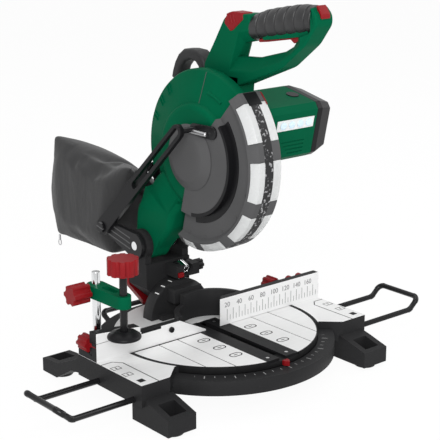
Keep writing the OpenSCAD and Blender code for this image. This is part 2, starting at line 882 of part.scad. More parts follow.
module bevel_bracket() {
  color(BLACK)
    difference() {
      union() {
        along_y(bracket_y, bracket_back)
          intersection() {
            translate([0, table_h])
              circle(r = bracket_r);
            translate([-bracket_r, table_h])
              square([2 * bracket_r, bracket_r]);
          }
        rod_y(pivot_boss_r, bracket_y, bracket_back, 0, table_h);
        block([-36, 36], [bracket_y - 9, bracket_y + over], [table_h, table_h + 6]);
        block([-22, 22], [bracket_y - 16, bracket_y + over], [table_h + 22, table_h + 40]);
      }
      rod_y(bevel_bolt_r + seat_fit, bracket_y - over, bracket_back + over, 0, table_h);
      block([-9, 9], [bracket_y - 10, bracket_y], [table_h - over, table_h + 9]);
    }
}

module bevel_pivot_bolt() {
  color("silver") {
    rod_y(bevel_bolt_r, bracket_y - 2, lever_y + lever_t + 6, 0, table_h);
    translate([0, bracket_y - 6, table_h])
      rotate([-90, 0, 0])
        cylinder(r = bevel_bolt_r + 3, h = 6, $fn = 6);
  }
}

module bevel_lock_lever() {
  color(RED)
    difference() {
      union() {
        along_y(lever_y, lever_y + lever_t)
          strap([0, table_h], pivot_boss_r, lever_end, lever_end_r);
        rod_y(8, lever_y - 3, lever_y + lever_t + 6, lever_end[0], lever_end[1]);
      }
      rod_y(bevel_bolt_r + run_fit, lever_y - over, lever_y + lever_t + over, 0, table_h);
    }
}

module at_laser() {
  translate([laser_x, nose_y, laser_z])
    rotate([90 + laser_tilt, 0, 0])
      children();
}

module bevel_column() {
  color(BLACK)
    difference() {
      union() {
        along_y(column_y, column_rear)
          polygon([[-2, table_h + 3], [28, table_h + 3], [ear_right_out, table_h + 45], [ear_right_out, column_top],
            [ear_out, column_top], [ear_out, table_h + 37]]);
        rod_y(pivot_boss_r - 0.3, column_y, column_rear, 0, table_h);
        for (x = [[ear_out, ear_in], [ear_right_in, ear_right_out]]) {
          block(x, [pivot_y - 15, column_rear], [column_top - over, pivot_z]);
          rod_x(ear_r, x[0], x[1], pivot_y, pivot_z);
        }
        block([nose_left, nose_right], [nose_y, column_y + over], [nose_z, nose_z + nose_h]);
        block([ear_right_in, ear_right_out], [column_rear - over, stop_y + 7], [stop_z, stop_z + 12]);
      }
      rod_y(bevel_bolt_r + run_fit, column_y - over, column_rear + over, 0, table_h);
      rod_x(axle_r + seat_fit, ear_out - over, ear_right_out + over, pivot_y, pivot_z);
      at_laser()
        translate([0, 0, laser_out - laser_l - over])
          cylinder(r = laser_r + seat_fit, h = laser_l + over);
      rod_x(lock_pin_r + run_fit, nose_right - 8, nose_right + over, lock_pin_y, nose_z + 6);
      rod_z(stop_r + seat_fit, stop_z - over, stop_z + 12 + over, stop_x, stop_y);
      block([switch_x[0] - pass_gap, switch_x[1] + pass_gap], [nose_y - over, nose_y + 5],
        [nose_z + 1 - pass_gap, nose_z + 7 + pass_gap]);
    }
}

module pivot_axle() {
  color("silver") {
    rod_x(axle_r, bracket_plate_x + over / 2, ear_right_out + 4, pivot_y, pivot_z);
    rod_x(sleeve_r, hub_right + pass_gap, ear_right_in - pass_gap, pivot_y, pivot_z);
  }
}

// Torsion spring round the axle: turn angles and x places along one unbroken wire
curl_steps = 8;
curl_from = hub_right + pass_gap + spring_wire + 1.2;
spring_span = spring_curls * spring_pitch;
spring_turns = concat([0, 0], [for (i = [0:spring_curls * curl_steps]) i * 360 / curl_steps],
  [spring_curls * 360, spring_curls * 360]);
spring_xs = concat([hub_right + pass_gap, hub_right + pass_gap + spring_wire],
  [for (i = [0:spring_curls * curl_steps]) curl_from + 1.5 + i * spring_pitch / curl_steps],
  [ear_right_in - pass_gap - spring_wire, ear_right_in - pass_gap]);
spring_path = [for (i = [0:len(spring_xs) - 1])
  [spring_xs[i], pivot_y + spring_r * cos(spring_turns[i]), pivot_z + spring_r * sin(spring_turns[i])]];
spring_sides = 6;

function unit(v) = v / norm(v);
function spring_ring(i) =
  let(last = len(spring_path) - 1,
    way = unit(spring_path[min(i + 1, last)] - spring_path[max(i - 1, 0)]),
    out = [0, cos(spring_turns[i]), sin(spring_turns[i])],
    side = unit(cross(way, out)),
    up = cross(side, way))
  [for (k = [0:spring_sides - 1])
    spring_path[i] + spring_wire / 2 * (cos(k * 360 / spring_sides) * up + sin(k * 360 / spring_sides) * side)];
// Least gap of the wire to itself, between points a good part of a turn apart
spring_gap = min([for (i = [0:len(spring_path) - 1], j = [0:len(spring_path) - 1])
  if (j - i > curl_steps / 2) norm(spring_path[i] - spring_path[j])]) - spring_wire;
echo(spring_gap = spring_gap);

module return_spring() {
  rings = [for (i = [0:len(spring_path) - 1]) spring_ring(i)];
  points = [for (r = rings, p = r) p];
  last = (len(rings) - 1) * spring_sides;
  sides = [for (i = [0:len(rings) - 2], k = [0:spring_sides - 1])
    let(a = i * spring_sides + k, b = i * spring_sides + (k + 1) % spring_sides)
    each [[a, b, a + spring_sides], [b, b + spring_sides, a + spring_sides]]];
  ends = [for (k = [1:spring_sides - 2])
    each [[0, k + 1, k], [last, last + k, last + k + 1]]];
  color("silver")
    polyhedron(points = points, faces = concat(sides, ends), convexity = 8);
}

module link_bracket() {
  color(BLACK)
    difference() {
      union() {
        along_x(bracket_plate_x, ear_out)
          strap([pivot_y, pivot_z], 17, link_pin_at, 8);
        rod_x(link_pin_r, link_x - over, ear_out, link_pin_at[0], link_pin_at[1]);
        rod_x(link_pin_r + 3, link_x - 3, link_x - pass_gap, link_pin_at[0], link_pin_at[1]);
      }
      rod_x(axle_r + seat_fit, bracket_plate_x - over, ear_out + over, pivot_y, pivot_z);
    }
}

module guard_link() {
  way = link_top_at - link_pin_at;
  color(CHARCOAL)
    difference() {
      along_x(link_x, link_x + link_t)
        strap(link_pin_at, 11, link_top_at, 9);
      rod_x(link_pin_r + run_fit, link_x - over, link_x + link_t + over, link_pin_at[0], link_pin_at[1]);
      along_x(link_x - over, link_x + link_t + over)
        strap(link_pin_at + link_slot_from * way, lever_pin_r + 1, link_top_at, lever_pin_r + 1);
    }
}

module laser_barrel() {
  color("silver")
    at_laser()
      translate([0, 0, laser_out - laser_l])
        difference() {
          cylinder(r = laser_r, h = laser_l);
          translate([0, 0, laser_l - 4])
            cylinder(r = laser_r - 2.5, h = 4 + over);
        }
}

module laser_switch() {
  color(RED)
    block([switch_x[0], switch_x[1]], [nose_y - 3, nose_y + 2], [nose_z + 1, nose_z + 7]);
}

module head_lock_pin() {
  color(BLACK) {
    rod_x(lock_pin_r, nose_right - 7, nose_right + 4, lock_pin_y, nose_z + 6);
    translate([nose_right + pass_gap, lock_pin_y, nose_z + 6])
      rotate([0, 90, 0])
        fluted_knob(7.5, 15, 6, 2.5);
  }
}

module depth_stop_screw() {
  color("silver") {
    rod_z(stop_r, stop_z - 6, stop_z + 34, stop_x, stop_y);
    translate([stop_x, stop_y, stop_z + 12])
      cylinder(r = stop_r + 3, h = 4, $fn = 6);
    translate([stop_x, stop_y, stop_z + 33])
      cylinder(r = stop_r + 2.5, h = 4, $fn = 6);
  }
}

module upper_guard() {
  in_r = guard_r - guard_wall;
  hub_in = guard_hub_r - 10;
  sector_in = guard_hub_r - 4;
  color(GREEN)
    difference() {
      union() {
        turned(upper_from, upper_to)
          polygon([[sector_in, dome_x], [dome_flat_r, dome_x], [guard_r - 2, dome_edge_x], [guard_r, 0],
            [guard_r, drum_right], [case_r, drum_right], [case_r, drum_right - guard_wall],
            [in_r, drum_right - guard_wall], [in_r, 0.4], [in_r - 2, dome_edge_x + 1],
            [dome_flat_r - 1, dome_x + guard_wall], [sector_in, dome_x + guard_wall]]);
        rod_x(guard_hub_r, dome_x - 8, dome_x + guard_wall + 0.5, arbor_y, arbor_z);
        rod_x(guard_hub_r + 4, dome_x - 10, dome_x - 7, arbor_y, arbor_z);
      }
      rod_x(hub_in, dome_x - 8, dome_x + guard_wall + over, arbor_y, arbor_z);
      translate([0, arbor_y, arbor_z])
        rotate([port_angle, 0, 0])
          rod_y(port_r - 4, guard_r - 20, guard_r + over, 1.5, 0);
    }
}

module case_outline() {
  translate([motor_y, motor_z])
    rotate(motor_tilt)
      octagon(motor_u, motor_v, motor_chamfer);
}

module gear_case() {
  color(GREEN)
    difference() {
      union() {
        rod_x(case_flange_r, drum_right, case_flange_x, arbor_y, arbor_z);
        rod_x(case_r, drum_right, case_x, arbor_y, arbor_z);
        along_x(handle_x, case_x) {
          case_outline();
          polygon([[-14, 330], [44, 322], [46, neck_z], [-18, neck_z]]);
          polygon([[30, 312], [62, 300], [carry_foot[0] + 8, carry_foot[1] - 6], carry_foot, [46, neck_z], [40, 340]]);
        }
      }
      rod_x(shaft_r + 2, drum_right - over, gear_wall_x, arbor_y, arbor_z);
      rod_x(bearing_r + seat_fit, gear_wall_x - bearing_w, gear_wall_x, arbor_y, arbor_z);
      rod_x(gear_r + 4, gear_wall_x - over / 2, gear_x + gear_w + 2, arbor_y, arbor_z);
      rod_x(pinion_r + 4, gear_wall_x - over / 2, gear_x + gear_w + 2, motor_y, motor_z);
      rod_x(bearing_r + seat_fit, case_x - bearing_w, case_x - 1, arbor_y, arbor_z);
      rod_x(shaft_r + 2, gear_x, case_x - over, arbor_y, arbor_z);
      rod_x(motor_bearing_r + seat_fit, case_x - bearing_w, case_x + over, motor_y, motor_z);
      rod_x(motor_shaft_r + 1, gear_x, case_x, motor_y, motor_z);
    }
}

module head_arm() {
  way = unit([pivot_y - arbor_y, pivot_z - arbor_z]);
  aside = [-way[1], way[0]];
  start = [arbor_y, arbor_z] + 45 * way;
  pivot = [pivot_y, pivot_z];
  color(GREEN)
    difference() {
      union() {
        along_x(hub_left, case_flange_x + 8)
          polygon([start + ear_r * aside, start - ear_r * aside, pivot - ear_r * aside, pivot + ear_r * aside]);
        rod_x(ear_r, hub_left, hub_right, pivot_y, pivot_z);
      }
      rod_x(guard_r + 0.5, hub_left - over, case_flange_x, arbor_y, arbor_z);
      rod_x(case_r + 0.2, hub_left, case_flange_x + 9, arbor_y, arbor_z);
      rod_x(ear_r + 10, hub_right, case_flange_x + 9, pivot_y, pivot_z);
      rod_x(axle_r + run_fit, hub_left - over, hub_right + over, pivot_y, pivot_z);
    }
}

module ring_x(outer, inner, x0, x1, y, z) {
  difference() {
    rod_x(outer, x0, x1, y, z);
    rod_x(inner, x0 - over, x1 + over, y, z);
  }
}

module spindle_bearings() {
  color("silver") {
    ring_x(bearing_r, shaft_r + run_fit, gear_wall_x - bearing_w + 0.2, gear_wall_x - 0.2, arbor_y, arbor_z);
    ring_x(bearing_r, shaft_r + run_fit, case_x - bearing_w + 0.2, case_x - 1.2, arbor_y, arbor_z);
    ring_x(motor_bearing_r, motor_shaft_r + run_fit, case_x - bearing_w + 0.2, case_x - 0.2, motor_y, motor_z);
    ring_x(motor_bearing_r, motor_shaft_r + run_fit, motor_x + 6.2, motor_x + 12, motor_y, motor_z);
  }
}

module saw_blade() {
  pitch = 360 / blade_teeth;
  root = blade_r - 6;
  color("silver")
    along_x(-blade_t / 2, blade_t / 2)
      translate([arbor_y, arbor_z])
        difference() {
          polygon([for (i = [0:blade_teeth - 1], k = [[0, blade_r], [0.24, blade_r - 1.5], [0.62, root],
              [0.85, root]])
            k[1] * [cos((i + k[0]) * pitch), sin((i + k[0]) * pitch)]]);
          circle(r = blade_bore);
        }
}

module blade_flanges() {
  color("gray") {
    ring_x(flange_r, shaft_r + seat_fit, -blade_t / 2 - 4, -blade_t / 2, arbor_y, arbor_z);
    ring_x(flange_r, shaft_r + seat_fit, blade_t / 2, blade_t / 2 + 6, arbor_y, arbor_z);
    ring_x(blade_bore - seat_fit, shaft_r + seat_fit, -blade_t / 2 + 0.1, blade_t / 2 + over, arbor_y, arbor_z);
  }
}

module arbor_shaft() {
  color("silver") {
    rod_x(shaft_r, -blade_t / 2 - 4, case_x - 1.5, arbor_y, arbor_z);
    along_x(gear_x, gear_x + gear_w)
      translate([arbor_y, arbor_z])
        rotate(motor_angle)
          gear_outline(gear_teeth, gear_m);
  }
}

module arbor_bolt() {
  color("gray") {
    translate([-blade_t / 2 - 10, arbor_y, arbor_z])
      rotate([0, 90, 0])
        cylinder(r = 9, h = 4, $fn = 6);
    rod_x(11, -blade_t / 2 - 6, -blade_t / 2 - 4, arbor_y, arbor_z);
  }
}

// Outline of the lower guard, as radius and x
module lower_section() {
  w = lower_wall;
  polygon([[guard_hub_r + lower_hub_w - 2, lower_disc_x], [lower_disc_r, lower_disc_x], [lower_disc_r, lower_ring_x],
    [rim_from_r - 4, lower_ring_x], [rim_from_r + 1, lower_rim_x], [lower_r, lower_rim_x + rim_slope],
    [lower_r, lower_right], [lower_inner_r, lower_right], [lower_inner_r, lower_right - w],
    [lower_r - w, lower_right - w], [lower_r - w, lower_rim_x + rim_slope + 1],
    [rim_from_r + 2.5, lower_rim_x + w], [rim_from_r - 2.2, lower_ring_x + w], [lower_disc_r - w, lower_ring_x + w],
    [lower_disc_r - w, lower_disc_x + w], [guard_hub_r + lower_hub_w - 2, lower_disc_x + w]]);
}

module lower_guard() {
  color(CHARCOAL)
    difference() {
      union() {
        turned(lower_from, lower_to)
          lower_section();
        difference() {
          rod_x(guard_hub_r + lower_hub_w, lower_disc_x - 0.3, lower_disc_x + lower_wall + 0.2, arbor_y, arbor_z);
          rod_x(guard_hub_r + run_fit, lower_disc_x - over, lower_disc_x + lower_wall + over, arbor_y, arbor_z);
        }
      }
      for (w = windows_at)
        turned(w[0], w[1])
          translate([window_r, lower_rim_x - over])
            square([lower_r, lower_right - lower_rim_x + 2 * over]);
    }
}

// Clear panes in the rim, each held in its gap in the frame
module guard_windows() {
  w = lower_wall - 0.8;
  foot = window_r + window_gap;
  way = (lower_r - rim_from_r - 1) / rim_slope;
  foot_x = lower_rim_x + (foot - rim_from_r - 1) / way;
  color("white", 0.4)
    for (at = windows_at)
      turned(at[0] + window_gap * 0.6, at[1] - window_gap * 0.6)
        polygon([[foot, foot_x], [lower_r, lower_rim_x + rim_slope], [lower_r, lower_right], [foot, lower_right],
          [foot, lower_right - w], [lower_r - w, lower_right - w], [lower_r - w, lower_rim_x + rim_slope + 1],
          [foot, foot_x + w]]);
}

module guard_lever() {
  color(BLACK) {
    along_x(lower_disc_x - lever_plate_t, lower_disc_x)
      strap(lever_pin_at, 7, lever_seat_at, 8);
    rod_x(lever_pin_r, link_x + link_t + pass_gap, lower_disc_x, lever_pin_at[0], lever_pin_at[1]);
  }
}

module motor_housing() {
  color(GREEN)
    in_motor_frame()
      difference() {
        union() {
          along_x(case_x, motor_x)
            difference() {
              octagon(motor_u, motor_v, motor_chamfer);
              octagon(motor_u - motor_wall, motor_v - motor_wall, motor_chamfer - 2);
            }
          rod_y(gland_r, motor_u - over, motor_u + gland_l, gland_x, -8);
        }
        rod_y(gland_r - 3, motor_u - motor_wall - over, motor_u + gland_l + over, gland_x, -8);
        rod_z(brush_cap_r + seat_fit, -motor_v - over, motor_v + over, brush_x, 0);
        for (i = [0:3])
          block([70 + 4 * i, 108], [-motor_u - over, 1 - motor_u], [-10 - 5 * i, -8.5 - 5 * i]);
      }
}

module motor_end_cap() {
  color(BLACK)
    difference() {
      in_motor_frame() {
        along_x(motor_x, motor_x + 8)
          octagon(motor_u, motor_v, motor_chamfer);
        translate([motor_x + 8, 0, 0])
          rotate([90, 0, 90])
            linear_extrude(cap_l - 8, scale = 0.84)
              octagon(motor_u, motor_v, motor_chamfer);
      }
      rod_x(motor_bearing_r + seat_fit, motor_x + 6, motor_x + 12.2, motor_y, motor_z);
      rod_x(motor_v - 8, motor_x - over, motor_x + 6, motor_y, motor_z);
    }
}

module motor_stator() {
  color("dimgray")
    ring_x(motor_v - motor_wall - 0.2, rotor_r + 1, rotor_from, rotor_to, motor_y, motor_z);
}

module motor_rotor() {
  color("brown") {
    rod_x(motor_shaft_r, gear_wall_x + 1, motor_x + 11.5, motor_y, motor_z);
    rod_x(rotor_r, rotor_from, rotor_to, motor_y, motor_z);
    rod_x(commutator_r, brush_x - 8, brush_x + 8, motor_y, motor_z);
    rod_x(motor_v - motor_wall - 3, case_x + 3, case_x + 10, motor_y, motor_z);
    along_x(gear_x, gear_x + gear_w)
      translate([motor_y, motor_z])
        rotate(motor_angle + 180 + 180 / pinion_teeth)
          gear_outline(pinion_teeth, gear_m);
  }
}

module carbon_brushes() {
  color(BLACK)
    in_motor_frame()
      for (s = [0, 1])
        mirror([0, 0, s]) {
          rod_z(4, commutator_r + 0.3, motor_v - motor_wall + 0.5, brush_x, 0);
          rod_z(brush_cap_r, motor_v - motor_wall, motor_v + 1, brush_x, 0);
        }
}

module led_panel() {
  color("white")
    in_motor_frame()
      block([58, motor_x - 5], [-motor_u - 1, -motor_u], [lamp_low, lamp_high]);
}

// The grip's stretch of the handle, as y and z, drawn in by a given amount
module grip_zone(inset) {
  polygon([[grip_from, 450 - inset], [-60, 456 - inset], [-113, 466 - inset], [grip_to, 467 - inset],
    [grip_to, 435 + inset], [-108, 429 + inset], [-50, 419 + inset], [grip_from, 416.6 + inset]]);
}

module trigger_room(extra) {
  along_x(trigger_x - trigger_half - extra, trigger_x + trigger_half + extra)
    translate(trigger_at)
      polygon([[-4 - extra, 4 + 9 * extra], [trigger_l + 3 * extra, -4 + 9 * extra],
        [trigger_l + 3 * extra, -trigger_h - extra], [-4 - extra, -trigger_h - extra]]);
}

// The trigger's trunnions, or their bores with the given room
module trigger_trunnions(extra, longer) {
  rod_x(trunnion_r + extra, trigger_x - trigger_half - trunnion_l - longer,
    trigger_x + trigger_half + trunnion_l + longer, trigger_pivot[0], trigger_pivot[1]);
}

module handle_frame() {
  color(GREEN)
    difference() {
      along_x(handle_x, handle_x + handle_w)
        difference() {
          polygon(handle_out);
          polygon(hand_hole);
        }
      difference() {
        along_x(handle_x - over, handle_x + handle_w + over)
          grip_zone(-3 * over);
        along_x(handle_x + grip_t, handle_x + handle_w - grip_t)
          grip_zone(grip_t);
      }
      trigger_room(0.6);
      trigger_trunnions(run_fit, 0.4);
      lock_off_shape(button_gap, button_room);
      front_shape(button_gap, button_room);
    }
}

module handle_grip() {
  color(BLACK)
    difference() {
      along_x(handle_x, handle_x + handle_w)
        grip_zone(0);
      along_x(handle_x + grip_t - seat_fit, handle_x + handle_w - grip_t + seat_fit)
        grip_zone(grip_t - seat_fit);
      trigger_room(0.6);
      trigger_trunnions(run_fit, 0.4);
      front_shape(button_gap, button_room);
    }
}

module trigger() {
  color(RED) {
    trigger_room(0);
    rod_x(trigger_ear_r, trigger_x - trigger_half, trigger_x + trigger_half, trigger_pivot[0], trigger_pivot[1]);
    trigger_trunnions(0, 0);
  }
}

// Rear lock-off button, with the given room round it and below it
module lock_off_shape(extra, below) {
  along_x(trigger_x - button_half - extra, trigger_x + button_half + extra)
    polygon([[-26 - extra, 431 - below], [3 + extra, 431 - below], [3 + extra, 447], [-7, 449.5], [-26 - extra, 449]]);
}

// Front button on the handle's nose, with the given room round it and behind it
module front_shape(extra, behind) {
  back = behind * button_way;
  slack = extra * [-button_way[1], button_way[0]];
  along_x(trigger_x - button_half - extra, trigger_x + button_half + extra)
    polygon([front_button_at + [-9, -8] - slack, front_button_at + [9, 8] + slack,
      front_button_at + [9, 8] + slack + 9 * button_way + back,
      front_button_at + [-9, -8] - slack + 9 * button_way + back]);
}

module lock_off_button() {
  color(RED)
    lock_off_shape(0, 0);
}

module front_button() {
  color(RED)
    front_shape(0, 0);
}

module carry_handle() {
  color(BLACK)
    along_x(handle_x + 1, handle_x + handle_w - 5)
      difference() {
        polygon(carry_out);
        polygon(carry_hole);
      }
}

module dust_port() {
  color(BLACK)
    translate([0, arbor_y, arbor_z])
      rotate([port_angle, 0, 0])
        difference() {
          rod_y(port_r, port_from - 8, port_to, 1.5, 0);
          rod_y(port_r - 3, port_from - 9, port_to + over, 1.5, 0);
          rod_x(guard_r + 0.2, 1.5 - port_r - over, 1.5 + port_r + over, 0, 0);
        }
}

module dust_bag() {
  color(BLACK)
    difference() {
      union() {
        along_x(bag_left + 14, bag_right - 14)
          polygon(bag_out);
        translate([bag_right - 14, bag_mid[0], bag_mid[1]])
          rotate([90, 0, 90])
            linear_extrude(14, scale = 0.84)
              translate(-bag_mid)
                polygon(bag_out);
        translate([bag_left + 14, bag_mid[0], bag_mid[1]])
          mirror([1, 0, 0])
            rotate([90, 0, 90])
              linear_extrude(14, scale = 0.84)
                translate(-bag_mid)
                  polygon(bag_out);
      }
      translate([0, arbor_y, arbor_z])
        rotate([port_angle, 0, 0])
          rod_y(port_r + 0.4, port_from, port_to + 0.4, 1.5, 0);
    }
}

base_casting();
rubber_feet();
fence_left();
sliding_fence();
fence_right();
fence_bolts();
fence_knob_left();
fence_knob_right();
fence_wing_screw();
support_bar_left();
support_bar_right();
rear_support_bar();
clamp_post();
clamp_arm();
clamp_arm_knob();
clamp_spindle();
clamp_spindle_knob();
clamp_pad();
mitre_pivot_bolt();
turntable_disc();
kerf_inserts();
insert_screws();
mitre_pointer();
bevel_bracket();
bevel_pivot_bolt();
bevel_lock_lever();
bevel_column();
pivot_axle();
return_spring();
link_bracket();
guard_link();
laser_barrel();
laser_switch();
head_lock_pin();
depth_stop_screw();
upper_guard();
gear_case();
head_arm();
spindle_bearings();
saw_blade();
blade_flanges();
arbor_shaft();
arbor_bolt();
lower_guard();
guard_windows();
guard_lever();
motor_housing();
motor_end_cap();
motor_stator();
motor_rotor();
carbon_brushes();
led_panel();
handle_frame();
handle_grip();
trigger();
lock_off_button();
front_button();
carry_handle();
dust_port();
dust_bag();
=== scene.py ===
import json
from math import atan2, cos, hypot, pi, radians, sin

import bmesh
import bpy
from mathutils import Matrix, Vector

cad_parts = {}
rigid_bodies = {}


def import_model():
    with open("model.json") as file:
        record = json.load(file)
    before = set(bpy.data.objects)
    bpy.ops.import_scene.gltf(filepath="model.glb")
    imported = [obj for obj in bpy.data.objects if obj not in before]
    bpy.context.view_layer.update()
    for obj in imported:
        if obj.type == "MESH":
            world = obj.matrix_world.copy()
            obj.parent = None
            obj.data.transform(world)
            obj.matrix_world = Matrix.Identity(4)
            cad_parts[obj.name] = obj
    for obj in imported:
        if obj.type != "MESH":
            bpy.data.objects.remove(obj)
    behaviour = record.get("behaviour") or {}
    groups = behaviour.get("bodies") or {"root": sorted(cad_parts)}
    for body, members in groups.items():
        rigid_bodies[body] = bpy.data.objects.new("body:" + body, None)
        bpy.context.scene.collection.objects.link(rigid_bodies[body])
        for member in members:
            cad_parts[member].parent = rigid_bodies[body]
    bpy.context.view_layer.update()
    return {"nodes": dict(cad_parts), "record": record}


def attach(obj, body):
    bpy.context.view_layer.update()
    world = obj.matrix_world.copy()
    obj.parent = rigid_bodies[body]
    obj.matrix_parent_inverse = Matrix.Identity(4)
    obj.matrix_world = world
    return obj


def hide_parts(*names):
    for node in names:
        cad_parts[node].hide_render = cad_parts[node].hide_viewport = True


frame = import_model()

MM = 0.001
nodes = frame["nodes"]
scene = bpy.context.scene

# Where the main axes of the saw are, in millimetres and degrees, as in the part's source
ARBOR_Y, ARBOR_Z = 20.0, 275.0
MOTOR_Y, MOTOR_Z, MOTOR_TILT = -8.64, 305.72, 12.0
PIVOT_Y, PIVOT_Z = 106.0, 147.0
LINK_PIN_Y, LINK_PIN_Z = 168.0, 160.0
TABLE_Z = 55.0

# Grain of castings and lines of machined faces, in repeats a metre
CAST_GRAIN = 620.0
LATHE_LINES = (14, 900, 900)


# ---------------------------------------------------------------- finishes

class Wire:
    """An output of a finish's nodes. Arithmetic on it adds Math nodes."""

    def __init__(self, finish, socket):
        self.finish = finish
        self.socket = socket

    def maths(self, operation, first, second=0.0):
        return self.finish.node("Math", {"operation": operation}, {0: first, 1: second})

    def __add__(self, other):
        return self.maths("ADD", self, other)

    def __sub__(self, other):
        return self.maths("SUBTRACT", self, other)

    def __rsub__(self, other):
        return self.maths("SUBTRACT", other, self)

    def __mul__(self, other):
        return self.maths("MULTIPLY", self, other)

    def __pow__(self, other):
        return self.maths("POWER", self, other)

    def __mod__(self, other):
        return self.maths("FLOORED_MODULO", self, other)

    def __gt__(self, other):
        return self.maths("GREATER_THAN", self, other)

    def __lt__(self, other):
        return self.maths("LESS_THAN", self, other)

    def __abs__(self):
        return self.maths("ABSOLUTE", self)

    def lower(self, other):
        return self.maths("MINIMUM", self, other)

    def upper(self, other):
        return self.maths("MAXIMUM", self, other)

    def wave(self):
        return self.maths("SINE", self)

    __radd__ = __add__
    __rmul__ = __mul__


class Finish:
    """One material: a principled shader and the nodes that feed it."""

    def __init__(self, name):
        self.material = bpy.data.materials.new(name)
        self.material.use_nodes = True
        self.tree = self.material.node_tree
        self.shader = self.tree.nodes["Principled BSDF"]

    def node(self, kind, settings=None, inputs=None, out=0):
        made = self.tree.nodes.new("ShaderNode" + kind)
        for key, value in (settings or {}).items():
            setattr(made, key, value)
        for key, value in (inputs or {}).items():
            self.plug(made.inputs[key], value)
        return Wire(self, made.outputs[out])

    def plug(self, socket, value):
        if isinstance(value, Wire):
            self.tree.links.new(value.socket, socket)
        else:
            socket.default_value = value

    def set(self, **sockets):
        for name, value in sockets.items():
            self.plug(self.shader.inputs[name.replace("_", " ")], value)
        return self

    def place(self, stretch=(1, 1, 1), turn=(0, 0, 0)):
        where = self.node("TexCoord", out="Object")
        return self.node("Mapping", None, {"Vector": where, "Scale": stretch, "Rotation": turn})

    def axes(self):
        split = self.node("SeparateXYZ", None, {0: self.place()})
        outs = split.socket.node.outputs
        return [Wire(self, outs[i]) for i in range(3)]

    def noise(self, scale, detail=2.0, where=None):
        return self.node("TexNoise", None, {"Vector": where or self.place(), "Scale": scale, "Detail": detail})

    def step(self, value, low, high):
        return self.node("MapRange", {"clamp": True}, {"Value": value, "From Min": low, "From Max": high})

    def mix(self, factor, first, second):
        first, second = ((*c, 1) if isinstance(c, tuple) else c for c in (first, second))
        return self.node("Mix", {"data_type": "RGBA"}, {0: factor, 6: first, 7: second}, 2)

    def bump(self, height, distance):
        return self.node("Bump", None, {"Height": height, "Distance": distance, "Strength": 1.0})


def darker(colour, share):
    return tuple(c * share for c in colour)


def moulded(name, colour, roughness, grain=1100.0, depth=0.00005, shade=0.82, **constants):
    """Moulded plastic: a fine sparked grain, slight clouds in colour and gloss."""
    f = Finish(name)
    cloud = f.noise(11.0, 3.0)
    grit = f.noise(grain, 2.0)
    f.set(
        Base_Color=f.mix(f.step(cloud, 0.3, 0.7), darker(colour, shade), colour),
        Roughness=roughness + (cloud - 0.5) * 0.16 + (grit - 0.5) * 0.14,
        Normal=f.bump(grit, depth),
        **constants,
    )
    return f.material


def cast(name, colour, roughness, depth=0.00022):
    """Painted casting: a coarse grain under thick paint, with rubbed spots."""
    f = Finish(name)
    cloud = f.noise(7.0, 4.0)
    grit = f.noise(CAST_GRAIN, 3.0)
    rubbed = f.step(f.noise(45.0, 6.0), 0.63, 0.78)
    body = f.mix(f.step(cloud, 0.3, 0.7), darker(colour, 0.8), colour)
    f.set(
        Base_Color=f.mix(rubbed * 0.35, body, tuple(min(1, c * 2.0) for c in colour)),
        Roughness=roughness + (cloud - 0.5) * 0.2 - rubbed * 0.08,
        Normal=f.bump(grit, depth),
        Specular_IOR_Level=0.06,
    )
    return f.material


def brushed(name, colour, roughness, stretch, depth=0.00002, metallic=1.0, shade=0.9, **constants):
    """Metal with fine lines along one axis, and faint cloudy stains."""
    f = Finish(name)
    lines = f.noise(1.0, 3.0, f.place(stretch))
    cloud = f.noise(13.0, 3.0)
    f.set(
        Base_Color=f.mix(lines * 0.5 + cloud * 0.5, darker(colour, shade), colour),
        Metallic=metallic,
        Roughness=roughness + (lines - 0.5) * 0.22 + (cloud - 0.5) * 0.1,
        Normal=f.bump(lines, depth),
        **constants,
    )
    return f.material


PAINT = (0.022, 0.022, 0.023)
BRIGHT = (0.86, 0.86, 0.86)

green_plastic = moulded("green_plastic", (0.001, 0.096, 0.043), 0.4, Specular_IOR_Level=0.015)
charcoal_plastic = moulded("charcoal_plastic", (0.088, 0.088, 0.090), 0.52, 900.0, 0.00008, Specular_IOR_Level=0.07)
black_plastic = moulded("black_plastic", (0.008, 0.008, 0.009), 0.34, Specular_IOR_Level=0.14)
red_plastic = moulded("red_plastic", (0.225, 0.006, 0.009), 0.42, Specular_IOR_Level=0.15)
# Black plastic made lighter for the carrying arch, partly as a painted highlight.
highlit_arch_plastic = moulded("black_plastic.arch_highlit", (0.032, 0.032, 0.033), 0.45, Specular_IOR_Level=0.12)
insert_plastic = moulded("insert_plastic", (0.010, 0.010, 0.011), 0.5, 700.0, 0.0001, Specular_IOR_Level=0.12)
white_plastic = moulded("white_plastic", (0.78, 0.8, 0.8), 0.3)
grip_rubber = moulded("grip_rubber", (0.014, 0.014, 0.015), 0.36, 1700.0, 0.00012, Specular_IOR_Level=0.5)
rubber = moulded("rubber", (0.024, 0.024, 0.025), 0.45, 1700.0, 0.00012, Specular_IOR_Level=0.25)
black_steel = brushed("black_steel", (0.013, 0.013, 0.014), 0.24, (60, 60, 60), 0.00003, 0.0, 0.7,
                      Specular_IOR_Level=0.2)
steel = brushed("steel", (0.62, 0.62, 0.63), 0.3, (300, 40, 40))
chrome = brushed("chrome", (0.82, 0.83, 0.84), 0.1, (30, 30, 400), 0.000008)
machined_aluminium = brushed("machined_aluminium", BRIGHT, 0.42, LATHE_LINES, 0.00002, 0.25)
copper_windings = brushed("copper_windings", (0.55, 0.19, 0.07), 0.35, (40, 900, 900), 0.0001)
charcoal_casting = cast("charcoal_casting", PAINT, 0.5)


